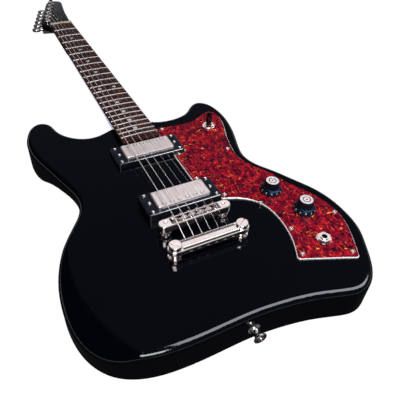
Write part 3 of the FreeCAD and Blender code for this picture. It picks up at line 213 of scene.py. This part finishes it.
def metal(name, colour, roughness, spread, brushed=None):
    """Plated metal: cloudy tarnish, finger marks, fine scratches."""
    tarnish = (0.9, 0.8, 0.74)
    s = Surface(name, colour, roughness, Metallic=1.0)
    cloud = s.noise(90, 5, 0.6)
    darker = tuple(c * t for c, t in zip(colour, tarnish))
    s.set("Base Color", s.mix(s.grey(cloud, 0.42, 0.78), colour, darker))
    smudge = s.noise(260, 4, 0.65)
    s.set("Roughness", s.grey(smudge, 0.3, 0.75, roughness, roughness + spread))
    stretch = brushed or (1.0, 0.05, 1.0)
    lines = s.noise(2600, 3, 0.6, s.mapped(stretch, (0, 0, 0.12)))
    s.set("Normal", s.bump(lines, 0.000004 if brushed else 0.0000015))
    return s.material


def rosewood():
    s = Surface("rosewood", (0.06, 0.02, 0.012), 0.5, Specular_IOR_Level=0.35)
    grain = s.noise(330, 6, 0.62, s.mapped((1.0, 0.045, 1.0)), 0.35)
    colour = s.ramp(grain, ((0.30, (0.014, 0.0045, 0.004)), (0.46, (0.052, 0.013, 0.009)),
                            (0.60, (0.105, 0.026, 0.016)), (0.78, (0.165, 0.048, 0.027))))
    bands = s.noise(46, 3, 0.5, s.mapped((1.0, 0.10, 1.0), (0, 0, 0.03)))
    colour = s.mix(s.grey(bands, 0.42, 0.70, 0.0, 0.6), colour, (0.022, 0.007, 0.005))
    pores = s.noise(2300, 2, 0.5, s.mapped((1.0, 0.06, 1.0)))
    pore = s.grey(pores, 0.60, 0.70)
    s.set("Base Color", s.mix(pore, colour, (0.006, 0.003, 0.003)))
    s.set("Roughness", s.grey(grain, 0.3, 0.7, 0.36, 0.6))
    deep = s.bump(s.math("SUBTRACT", 1.0, pore), 0.00006)
    s.set("Normal", s.bump(grain, 0.00003, 1.0, deep))
    return s.material


def pearl():
    s = Surface("pearl", (0.8, 0.8, 0.78), 0.16, Coat_Weight=0.8)
    bands = s.noise(330, 4, 0.55, s.mapped((1.0, 0.5, 1.0), (0, 0, 0.4)), 1.3)
    s.set("Base Color", s.ramp(bands, ((0.34, (0.62, 0.68, 0.70)), (0.46, (0.88, 0.88, 0.88)),
                                       (0.56, (0.96, 0.95, 0.94)), (0.68, (0.76, 0.82, 0.81)))))
    s.set("Normal", s.bump(bands, 0.00003))
    return s.material


def bone():
    s = Surface("bone", (0.72, 0.65, 0.50), 0.34, Subsurface_Weight=0.15, Subsurface_Scale=0.002)
    mottle = s.noise(340, 5, 0.6, s.mapped((0.5, 1, 1)))
    s.set("Base Color", s.ramp(mottle, ((0.3, (0.60, 0.52, 0.38)), (0.55, (0.76, 0.70, 0.56)),
                                        (0.8, (0.82, 0.77, 0.66)))))
    s.set("Normal", s.bump(mottle, 0.00002))
    return s.material


def plastic(name, colour, roughness, grain=0.00001, tint=(1.0, 1.0, 1.0)):
    """Moulded plastic: faint flow marks, dust and a fine orange peel."""
    s = Surface(name, colour, roughness, Specular_IOR_Level=0.35, Specular_Tint=(*tint, 1.0))
    flow = s.noise(70, 4, 0.6)
    lighter = tuple(c * 1.7 + 0.0015 for c in colour)
    s.set("Base Color", s.mix(s.grey(flow, 0.4, 0.8), colour, lighter))
    s.set("Roughness", s.grey(s.noise(190, 5, 0.65), 0.3, 0.75, roughness, roughness * 2))
    s.set("Normal", s.bump(s.noise(1400, 2, 0.5), grain))
    return s.material


def knob_cap():
    """Spun disc with a dark worn groove."""
    s = Surface("knob_cap", (0.86, 0.80, 0.82), 0.24, Metallic=0.85)
    marks = s.noise(900, 3, 0.6)
    s.set("Roughness", s.grey(marks, 0.3, 0.7, 0.2, 0.36))
    s.set("Normal", s.bump(s.noise(2500, 2, 0.5, s.mapped((1, 0.2, 1))), 0.000004))
    grooved = s.grey(s.axis("Z"), CAP_DARK_BELOW, CAP_PALE_ABOVE)
    s.set("Base Color", s.mix(grooved, (0.02, 0.02, 0.024), (0.88, 0.82, 0.84)))
    return s.material


def dial_paint():
    s = Surface("dial_paint", (0.78, 0.80, 0.80), 0.5)
    s.set("Base Color", s.mix(s.noise(2500, 3), (0.62, 0.65, 0.66), (0.86, 0.88, 0.88)))
    s.set("Normal", s.bump(s.noise(4000, 2), 0.00001))
    return s.material


def felt():
    s = Surface("felt", (0.02, 0.02, 0.022), 0.95, Sheen_Weight=0.5)
    fibre = s.noise(3000, 4, 0.7)
    s.set("Base Color", s.mix(fibre, (0.010, 0.010, 0.012), (0.045, 0.043, 0.043)))
    s.set("Normal", s.bump(fibre, 0.0002))
    return s.material


def wound_wire():
    """Round-wound string: fine turns of wrap wire along its length, with painted shade making the grooves between
    the turns darker.
    """
    s = Surface("wound_string", (0.86, 0.82, 0.79), 0.34, Metallic=0.9)
    turns = s.add("ShaderNodeTexWave", {"Vector": s.place, "Scale": 560.0, "Distortion": 0.0},
                  wave_type="BANDS", bands_direction="Y", wave_profile="SIN").outputs["Fac"]
    # painted shade: the base colour is darkest in the grooves between the turns, following the same wave as the
    # bump
    s.set("Base Color", s.mix(turns, (0.50, 0.46, 0.44), (0.95, 0.92, 0.90)))
    s.set("Normal", s.bump(turns, 0.00009))
    return s.material


def string_turns():
    """Wrap wire seen on the tight coils at a post."""
    s = Surface("string_turns", (0.86, 0.82, 0.79), 0.32, Metallic=0.9)
    grain = s.noise(3600, 2, 0.5)
    s.set("Base Color", s.mix(grain, (0.52, 0.48, 0.45), (0.92, 0.89, 0.86)))
    s.set("Normal", s.bump(grain, 0.00006))
    return s.material


def plain_wire():
    s = Surface("plain_string", (0.80, 0.79, 0.79), 0.26, Metallic=1.0)
    wear = s.noise(600, 3, 0.5, s.mapped((1, 0.1, 1)))
    s.set("Roughness", s.grey(wear, 0.3, 0.7, 0.14, 0.3))
    s.set("Normal", s.bump(wear, 0.000006))
    return s.material


def hookup():
    s = Surface("hookup_wire", (0.10, 0.085, 0.05), 0.55)
    braid = s.cells(900, s.mapped((1, 0.6, 1), (0, 0, 0.7)))
    s.set("Base Color", s.mix(braid, (0.16, 0.14, 0.09), (0.03, 0.025, 0.02)))
    s.set("Normal", s.bump(braid, 0.0001))
    return s.material


MATERIALS = {
    "black_lacquer": black_lacquer(),
    "tortoise": tortoise(),
    "rosewood": rosewood(),
    "pearl": pearl(),
    "bone": bone(),
    "nickel": metal("nickel", (0.82, 0.76, 0.76), 0.12, 0.10),
    "cover_nickel": metal("cover_nickel", (0.84, 0.775, 0.785), 0.30, 0.10, (1.0, 0.35, 1.0)),
    "steel": metal("steel", (0.66, 0.65, 0.64), 0.16, 0.12),
    "screw_metal": metal("screw_metal", (0.86, 0.84, 0.82), 0.20, 0.10),
    "fret_metal": metal("fret_metal", (0.80, 0.78, 0.79), 0.26, 0.08),
    "control_metal": metal("control_metal", (0.72, 0.71, 0.70), 0.22, 0.12),
    "black_plastic": plastic("black_plastic", (0.0012, 0.0014, 0.0024), 0.05),
    "knob_plastic": plastic("knob_plastic", (0.0030, 0.0040, 0.0075), 0.14, tint=(0.15, 0.50, 1.0)),
    "bobbin_plastic": plastic("bobbin_plastic", (0.012, 0.012, 0.013), 0.35, 0.00002),
    "wound_string": wound_wire(),
    "plain_string": plain_wire(),
    "string_turns": string_turns(),
    "hookup_wire": hookup(),
    "knob_cap": knob_cap(),
    "dial_paint": dial_paint(),
    "felt": felt(),
}

NODE_MATERIALS = {
    "body": "black_lacquer", "neck": "black_lacquer", "fretboard": "rosewood", "frets": "fret_metal",
    "position_dots": "pearl", "nut": "bone", "truss_rod": "steel", "truss_rod_cover": "black_plastic",
    "tuner_housings": "nickel", "tuner_bushings": "nickel", "headstock_screws": "screw_metal",
    "strings_wound": "wound_string", "strings_plain": "plain_string", "pickguard": "tortoise",
    "body_screws": "screw_metal", "neck_pickup_ring": "black_plastic", "bridge_pickup_ring": "black_plastic",
    "neck_pickup_cover": "cover_nickel", "bridge_pickup_cover": "cover_nickel",
    "neck_pickup_core": "bobbin_plastic", "bridge_pickup_core": "bobbin_plastic",
    "neck_pole_screws": "screw_metal", "bridge_pole_screws": "screw_metal",
    "neck_pickup_springs": "steel", "bridge_pickup_springs": "steel", "pickup_height_screws": "screw_metal",
    "bridge_beam": "nickel", "saddle_screws": "screw_metal", "bridge_posts": "nickel",
    "post_bushings": "nickel", "tailpiece": "nickel", "tailpiece_studs": "nickel",
    "volume_knob": "black_plastic", "tone_knob": "black_plastic", "pot_bodies": "control_metal",
    "control_nuts": "nickel", "switch_body": "control_metal", "toggle_lever": "nickel",
    "toggle_tip": "black_plastic", "output_jack": "nickel", "wiring": "hookup_wire", "strap_buttons": "nickel",
}
for k in range(1, 7):
    NODE_MATERIALS["tuner_key_%d" % k] = "nickel"
    NODE_MATERIALS["tuner_post_%d" % k] = "nickel"
    NODE_MATERIALS["saddle_%d" % k] = "nickel"

for name, node in nodes.items():
    node.data.materials.clear()
    node.data.materials.append(MATERIALS[NODE_MATERIALS[name]])


# ---- helpers for added pieces ----
def add_piece(name, vertices, faces, material, body, place=Matrix.Identity(4)):
    mesh = bpy.data.meshes.new(name)
    mesh.from_pydata([tuple(place @ Vector(v)) for v in vertices], [], faces)
    mesh.update()
    mesh.materials.append(MATERIALS[material])
    mesh.polygons.foreach_set("use_smooth", [True] * len(mesh.polygons))
    mesh.set_sharp_from_angle(angle=math.radians(35))
    obj = bpy.data.objects.new(name, mesh)
    bpy.context.scene.collection.objects.link(obj)
    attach(obj, body)
    return obj


def lathe(profile, steps, centre, radius_of=None):
    """Rings of (radius, height) turned about a vertical axis. radius_of(row, angle) adds to a radius."""
    vertices, faces = [], []
    for row, (radius, height) in enumerate(profile):
        for k in range(steps):
            angle = 2 * math.pi * k / steps
            r = radius + (radius_of(row, angle) if radius_of else 0.0)
            x, y = centre[0] + r * math.cos(angle), centre[1] + r * math.sin(angle)
            vertices.append((x, y, centre[2] + height))
    for row in range(len(profile) - 1):
        for k in range(steps):
            a, b = row * steps + k, row * steps + (k + 1) % steps
            faces.append((a, b, b + steps, a + steps))
    return vertices, faces


def capped(vertices, faces, steps):
    """Closes both ends of a lathe or a tube whose rings have this many steps."""
    faces.append(tuple(reversed(range(steps))))
    start = len(vertices) - steps
    faces.append(tuple(range(start, start + steps)))
    return vertices, faces


def tube_along(points, radius, sides=12):
    """Round tube through points, closed at both ends."""
    points = [Vector(p) for p in points]
    vertices, faces = [], []
    side = None
    for k, point in enumerate(points):
        ahead = (points[min(k + 1, len(points) - 1)] - points[max(k - 1, 0)]).normalized()
        if side is None:
            side = ahead.orthogonal().normalized()
        side = (side - ahead * side.dot(ahead)).normalized()
        across = ahead.cross(side)
        for j in range(sides):
            angle = 2 * math.pi * j / sides
            vertices.append(point + (side * math.cos(angle) + across * math.sin(angle)) * radius)
    for k in range(len(points) - 1):
        for j in range(sides):
            a, b = k * sides + j, k * sides + (j + 1) % sides
            faces.append((a, b, b + sides, a + sides))
    return capped(vertices, faces, sides)


def frame_at(origin, up, across=(1, 0, 0)):
    """Matrix of a local frame whose +Z is up and whose +X leans to across."""
    z = Vector(up).normalized()
    x = (Vector(across) - z * Vector(across).dot(z)).normalized()
    y = z.cross(x)
    return Matrix.Translation(Vector(origin)) @ Matrix((x, y, z)).transposed().to_4x4()


# ---- control knobs ----
KNOB_CAP_R = 0.0081
SKIRT_FOOT = (0.0137, 0.0020)      # radius and height where the skirt's slope starts
SKIRT_HEAD = (0.0127, 0.0043)      # and where it ends
RIB_COUNT = 28
RIB_DEPTH = 0.00042
FIRST_RIBBED_ROW, LAST_RIBBED_ROW = 9, 13


def knob(name, body):
    """Ribbed top-hat knob: black skirted barrel, spun metal cap, pale dial marks on the skirt."""
    low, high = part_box(name)
    centre = ((low.x + high.x) / 2, (low.y + high.y) / 2, GUARD_TOP + 0.001)
    height = high.z - centre[2]
    steps = 288
    profile = [
        (0.0084, 0.0), (0.0134, 0.0), (0.01375, 0.0002), (0.01395, 0.0006), (0.01395, 0.0014), SKIRT_FOOT,
        SKIRT_HEAD, (0.01245, 0.0047), (0.0112, 0.0053), (0.0103, 0.0057), (0.00985, 0.0063), (0.0097, 0.0071),
        (0.0090, height - 0.0014), (0.0089, height - 0.0007), (0.00855, height - 0.0002),
        (0.0083, height - 0.0001), (KNOB_CAP_R + 0.00004, height - 0.0001),
        (KNOB_CAP_R + 0.00004, height - 0.0008)]

    def ribs(row, angle):
        if not FIRST_RIBBED_ROW <= row <= LAST_RIBBED_ROW:
            return 0.0
        wave = 0.5 + 0.5 * math.cos(angle * RIB_COUNT)
        fade = 0.5 if row in (FIRST_RIBBED_ROW, LAST_RIBBED_ROW) else 1.0
        return -RIB_DEPTH * (1 - wave ** 0.6) * fade

    vertices, faces = lathe(profile, steps, centre, ribs)
    barrel = add_piece(name + "_barrel", vertices, faces, "knob_plastic", body)
    cap_profile = [
        (KNOB_CAP_R, -0.0012), (KNOB_CAP_R, -0.0001), (KNOB_CAP_R - 0.0002, 0.0), (0.0066, -0.00005),
        (0.0050, -0.00010), (0.0048, -0.0004), (0.0040, -0.0004), (0.0038, -0.0001), (0.0022, -0.00005),
        (0.0012, -0.00008), (0.0010, -0.0004), (0.0002, -0.0006)]
    top = (centre[0], centre[1], centre[2] + height)
    vertices, faces = capped(*lathe(cap_profile, 96, top), 96)
    add_piece(name + "_cap", vertices, faces, "knob_cap", body)
    shaft = [(0.0030, -0.0062), (0.0030, height - 0.0015)]
    vertices, faces = capped(*lathe(shaft, 48, centre), 48)
    add_piece(name + "_shaft", vertices, faces, "steel", body)
    first_mark, mark_step = -90 - 150, 30
    for number in range(11):
        angle = math.radians(first_mark + number * mark_step)
        dial_mark(name, str(number), centre, angle, body)
    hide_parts(name)


def dial_mark(name, text, centre, angle, body):
    """A numeral laid on the sloping skirt, reading upright from outside."""
    curve = bpy.data.curves.new(name + "_mark", "FONT")
    curve.body = text
    curve.size = 0.0036
    curve.align_x = "CENTER"
    curve.align_y = "CENTER"
    curve.extrude = 0.00003
    loose = bpy.data.objects.new(name + "_loose", curve)
    bpy.context.scene.collection.objects.link(loose)
    bpy.context.view_layer.update()
    mesh = bpy.data.meshes.new_from_object(loose.evaluated_get(bpy.context.evaluated_depsgraph_get()))
    bpy.data.objects.remove(loose)
    slope = (SKIRT_HEAD[1] - SKIRT_FOOT[1]) / (SKIRT_FOOT[0] - SKIRT_HEAD[0])
    lean = math.atan(slope)
    middle_r, middle_rise, lift = 0.0132, 0.00315, 0.00002
    for vertex in mesh.vertices:
        along, up, out = vertex.co
        radius = middle_r - math.cos(lean) * up + math.sin(lean) * (out + lift)
        rise = middle_rise + math.sin(lean) * up + math.cos(lean) * (out + lift)
        turn = angle + along / middle_r
        x, y = centre[0] + radius * math.cos(turn), centre[1] + radius * math.sin(turn)
        vertex.co = (x, y, centre[2] + rise)
    mesh.materials.append(MATERIALS["dial_paint"])
    piece = bpy.data.objects.new("%s_mark_%s" % (name, text), mesh)
    bpy.context.scene.collection.objects.link(piece)
    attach(piece, body)


knob("volume_knob", "volume_control")
knob("tone_knob", "tone_control")


# ---- tuning posts with their windings ----
STRING_DIAMETERS = (0.00117, 0.00091, 0.00066, 0.00046, 0.00036, 0.00028)
WOUND_STRINGS = 3
POST_R = 0.003
STRING_RISE = 0.006                # height above the joint where the winding starts
HOLE_RISE = 0.0084                 # and where the string goes in
STEPS_PER_TURN = 36


def tuning_post(number):
    """Turned post with a waist, a rim where the string goes in, and the string wound round it below that."""
    joint = next(j for j in frame["joints"] if j["name"] == "tuner_post_%d_turn" % number)
    place = frame_at(joint["pos_m"], joint["axis"])
    body = "tuner_post_%d" % number
    d = STRING_DIAMETERS[number - 1]
    profile = [(0.00297, -0.002), (0.00297, 0.0038), (0.0028, 0.0044), (0.00275, 0.0052), (0.00275, 0.0076),
               (0.0028, 0.0080), (0.0031, 0.0086), (0.0035, 0.0093), (0.0036, 0.0098), (0.0036, 0.0131),
               (0.0034, 0.0138), (0.0029, 0.0142), (0.0020, 0.01442), (0.0008, 0.0145)]
    vertices, faces = capped(*lathe(profile, 72, (0, 0, 0)), 72)
    post = add_piece("%s_turned" % body, vertices, faces, "nickel", body, place)
    turns = max(2, min(6, int((HOLE_RISE - STRING_RISE - 0.0002) / d)))
    radius = POST_R + d / 2
    points = []
    for k in range(turns * STEPS_PER_TURN + 1):
        angle = 2 * math.pi * k / STEPS_PER_TURN
        rise = STRING_RISE + d * 1.01 * k / STEPS_PER_TURN
        points.append((radius * math.cos(angle), radius * math.sin(angle), rise))
    end = points[-1]
    points += [(end[0] * 0.98, end[1] + 0.0006, end[2] + 0.0001), (radius * 0.86, 0.0017, end[2] + 0.0004)]
    wound = number <= WOUND_STRINGS
    look = "string_turns" if wound else "plain_string"
    vertices, faces = tube_along(points, d / 2 * 0.99)
    add_piece("%s_winding" % body, vertices, faces, look, body, place)
    vertices, faces = tube_along([(0.0022, 0, HOLE_RISE), (0.0034, 0, HOLE_RISE), (0.0042, 0.0003, 0.0083),
                                  (0.0048, 0.0010, 0.0080)], d / 2)
    add_piece("%s_string_end" % body, vertices, faces, "plain_string", body, place)
    collar, faces = lathe([(d / 2 + 0.0004, -0.0003), (d / 2 + 0.0006, 0.0), (d / 2 + 0.0003, 0.00025),
                           (d / 2, 0.0001)], 24, (0, 0, 0))
    hole = place @ frame_at((0.00285, 0, HOLE_RISE), (1, 0, 0), (0, 1, 0))
    add_piece("%s_hole_rim" % body, collar, faces, "nickel", body, hole)
    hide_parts(body)


for number in range(1, 7):
    tuning_post(number)


# ---- side dots on the fretboard's bass edge ----
SCALE = 0.62865
FRET_22_Y = SCALE * 2 ** (-22 / 12)
NUT_HALF = 0.02145
FRET_22_HALF = 0.02675
NECK_FALL = 0.025                  # drop towards the headstock, per metre along the neck
BOARD_RISE = 0.013                 # fretboard's top over the body's, at fret 22
NECK_ORIGIN = (0, 0, BODY_TOP + BOARD_RISE + NECK_FALL * FRET_22_Y)
NECK_FRAME = Matrix.Translation(NECK_ORIGIN) @ Matrix.Rotation(-math.atan(NECK_FALL), 4, "X")


def board_half(y):
    """Half the fretboard's width at y, measured along the neck."""
    return NUT_HALF + (SCALE - y) / (SCALE - FRET_22_Y) * (FRET_22_HALF - NUT_HALF)


def side_dots():
    lean = math.atan(board_half(0) - board_half(1))
    spots = []
    for fret in (3, 5, 7, 9, 12, 15, 17, 19, 21):
        middle = SCALE * (2 ** (-fret / 12) + 2 ** (-(fret - 1) / 12)) / 2
        spots += [middle - 0.0035, middle + 0.0035] if fret == 12 else [middle]
    vertices, faces = [], []
    for y in spots:
        seat = frame_at((-board_half(y), y, -0.0030), (-1, lean, 0), (0, 1, 0))
        dome = [(0.0011, -0.0004), (0.0011, 0.00001), (0.0009, 0.00005), (0.0004, 0.00007)]
        some, rows = capped(*lathe(dome, 24, (0, 0, 0)), 24)
        faces += [tuple(i + len(vertices) for i in face) for face in rows]
        vertices += [seat @ Vector(v) for v in some]
    add_piece("side_dots", vertices, faces, "pearl", "guitar", NECK_FRAME)


side_dots()


# ---- pickup height springs ----
PICKUP_RISE = 0.002
SPRING_TURNS = 6
SPRING_WIRE_R = 0.00035
SPRING_GAP_BELOW = 0.00005
SPRING_GAP_ROUND = 0.00015


def height_springs(name):
    """A coil spring round each height screw, as long as it is with the pickup raised."""
    low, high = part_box(name + "_springs")
    outer = (high.y - low.y) / 2
    middle = (low.y + high.y) / 2
    foot = low.z + PICKUP_RISE + SPRING_WIRE_R + SPRING_GAP_BELOW
    rise = high.z - SPRING_WIRE_R - foot
    radius = outer - SPRING_WIRE_R - SPRING_GAP_ROUND
    steps = SPRING_TURNS * 24
    for side, x in (("bass", low.x + outer), ("treble", high.x - outer)):
        points = []
        for k in range(steps + 1):
            angle = 2 * math.pi * SPRING_TURNS * k / steps
            y = middle + radius * math.sin(angle)
            points.append((x + radius * math.cos(angle), y, foot + rise * k / steps))
        vertices, faces = tube_along(points, SPRING_WIRE_R, 10)
        spring = add_piece("%s_spring_%s" % (name, side), vertices, faces, "steel", "guitar")
        if side == "bass":
            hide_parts(name + "_springs")


height_springs("neck_pickup")
height_springs("bridge_pickup")


# ---- strap buttons on felt washers ----
def strap_button(name, seat, out, first):
    place = frame_at(seat, out)
    shape = [(0.0022, 0.0009), (0.0053, 0.0009), (0.0054, 0.0012), (0.0048, 0.0020), (0.0043, 0.0032),
             (0.0041, 0.0050), (0.0041, 0.0070), (0.0044, 0.0086), (0.0053, 0.0100), (0.0066, 0.0109),
             (0.0071, 0.0114), (0.0072, 0.0120), (0.0071, 0.0126), (0.0066, 0.0131), (0.0056, 0.0135),
             (0.0042, 0.0136), (0.0038, 0.0134), (0.0034, 0.0125)]
    vertices, faces = lathe(shape, 96, (0, 0, 0))
    button = add_piece(name, vertices, faces, "nickel", "guitar", place)
    soft = [(0.0022, -0.0004), (0.0064, -0.0004), (0.0067, 0.0), (0.0067, 0.0005), (0.0064, 0.00088),
            (0.0022, 0.0009)]
    vertices, faces = lathe(soft, 64, (0, 0, 0))
    add_piece(name + "_felt", vertices, faces, "felt", "guitar", place)
    if first:
        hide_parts("strap_buttons")


mounts = {mount["name"]: mount for mount in frame["record"]["mounts"]}
strap_button("strap_button_tail", mounts["strap_tail"]["pos_m"], mounts["strap_tail"]["axis"], True)
strap_button("strap_button_horn", mounts["strap_horn"]["pos_m"], mounts["strap_horn"]["axis"], False)


# ---- stage: floor, lights, camera ----
FLOOR_HALF = 6.0
FLOOR_GAP = 0.0004                 # keeps the floor clear of the flat back
PALE_ROOM = (0.72, 0.75, 0.80)
DARK_CEILING = (0.002, 0.002, 0.004)
TREBLE_CEILING = (0.058, 0.064, 0.072)
BACKDROP = (0.95, 0.96, 0.98)
CAMERA_PLACE = (-0.17478, -0.32900, 0.41923)
CAMERA_FORWARD = (0.35649, 0.64706, -0.67397)
CAMERA_RIGHT = (0.89452, -0.44463, 0.04626)


def floor():
    """Nearly black to light and reflections, and white to the camera."""
    mesh = bpy.data.meshes.new("floor")
    corners = [(x * FLOOR_HALF, y * FLOOR_HALF, 0) for x, y in ((-1, -1), (1, -1), (1, 1), (-1, 1))]
    mesh.from_pydata(corners, [], [(0, 1, 2, 3)])
    obj = bpy.data.objects.new("floor", mesh)
    obj.location = (0, 0.3, -FLOOR_GAP)
    bpy.context.scene.collection.objects.link(obj)
    s = Surface("floor", (0.008, 0.008, 0.009), 0.9)
    s.set("Base Color", s.mix(s.noise(3, 3), (0.007, 0.007, 0.008), (0.009, 0.009, 0.010)))
    s.set("Emission Color", (1, 1, 1, 1))
    seen = s.nodes.new("ShaderNodeLightPath").outputs["Is Camera Ray"]
    s.set("Emission Strength", s.grey(seen, 0, 1, 0.0, 1.0))
    mesh.materials.append(s.material)
    obj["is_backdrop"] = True


def softbox(name, place, aim, width, height, power, colour=(1, 1, 1), only=None):
    """Rectangular area light, level and facing down if aim is None. With only, it lights those alone."""
    data = bpy.data.lights.new(name, "AREA")
    data.shape = "RECTANGLE"
    data.size = width
    data.size_y = height
    data.energy = power
    data.color = colour
    lamp = bpy.data.objects.new(name, data)
    lamp.location = place
    if aim:
        lamp.rotation_euler = (Vector(aim) - Vector(place)).to_track_quat("-Z", "Y").to_euler()
    lamp.visible_camera = False
    bpy.context.scene.collection.objects.link(lamp)
    if only:
        group = bpy.data.collections.new(name + "_receivers")
        for piece in only:
            group.objects.link(piece)
        lamp.light_linking.receiver_collection = group


def sky():
    """The camera sees a pale backdrop. Light and reflections see a room that is pale low down and
    nearly black above, less so on the treble side."""
    world = bpy.data.worlds.new("studio")
    bpy.context.scene.world = world
    world.use_nodes = True
    g = Graph(world.node_tree, "Generated")
    above = g.mix(g.grey(g.axis("X"), -0.30, -0.02), DARK_CEILING, TREBLE_CEILING)
    low = g.grey(g.axis("Z"), 0.10, 0.20, 1.0, 0.0)
    room = g.mix(low, above, PALE_ROOM)
    seen = g.nodes.new("ShaderNodeLightPath").outputs["Is Camera Ray"]
    g.links.new(g.mix(seen, room, BACKDROP), g.nodes["Background"].inputs["Color"])


def camera():
    data = bpy.data.cameras.new("camera")
    data.sensor_width = 36.0
    data.lens = 40.65
    data.clip_start = 0.01
    obj = bpy.data.objects.new("camera", data)
    forward = Vector(CAMERA_FORWARD).normalized()
    right = Vector(CAMERA_RIGHT).normalized()
    up = (-forward).cross(right).normalized()
    turn = Matrix((right, up, -forward)).transposed()
    obj.matrix_world = Matrix.Translation(CAMERA_PLACE) @ turn.to_4x4()
    bpy.context.scene.collection.objects.link(obj)
    bpy.context.scene.camera = obj


def lights():
    """A key light for everything, and softboxes that shape reflections on the pieces they are linked to."""
    shiny = [MATERIALS[name] for name in (
        "nickel", "knob_cap", "cover_nickel", "screw_metal", "control_metal", "steel", "fret_metal",
        "wound_string", "plain_string", "string_turns")]
    metal_pieces = [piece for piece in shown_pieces() if piece.data.materials[0] in shiny]
    rings = [nodes["neck_pickup_ring"], nodes["bridge_pickup_ring"]]
    glossy_pieces = [nodes["body"], nodes["pickguard"], *rings, nodes["strings_wound"], nodes["strings_plain"]]
    glossy_pieces += [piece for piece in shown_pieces() if piece.name.endswith("_barrel")]
    softbox("key", (-0.55, -1.35, 1.65), (0.02, 0.05, 0.04), 1.2, 0.8, 46)
    softbox("edge", (1.15, -0.20, 1.70), None, 1.9, 0.95, 44, (0.93, 0.95, 1.0), glossy_pieces)
    softbox("rims", (0.85, -0.55, 1.70), None, 0.7, 1.7, 300, (0.95, 0.96, 1.0), rings)
    softbox("card", (1.10, 1.55, 1.90), None, 2.4, 2.8, 21.0, (1.0, 0.955, 0.965), metal_pieces)
    softbox("band", (0.55, -0.22, 1.70), None, 1.1, 0.45, 3.0, (1.0, 0.98, 0.98), metal_pieces)
    under_neck = (-0.12, 0.42, 0.003)
    straight_up = (under_neck[0], under_neck[1], 1.0)
    softbox("table", under_neck, straight_up, 0.22, 0.30, 0.35, (0.80, 0.80, 1.0), [nodes["neck"]])


floor()
sky()
lights()
camera()
bpy.context.scene.view_settings.view_transform = "Standard"
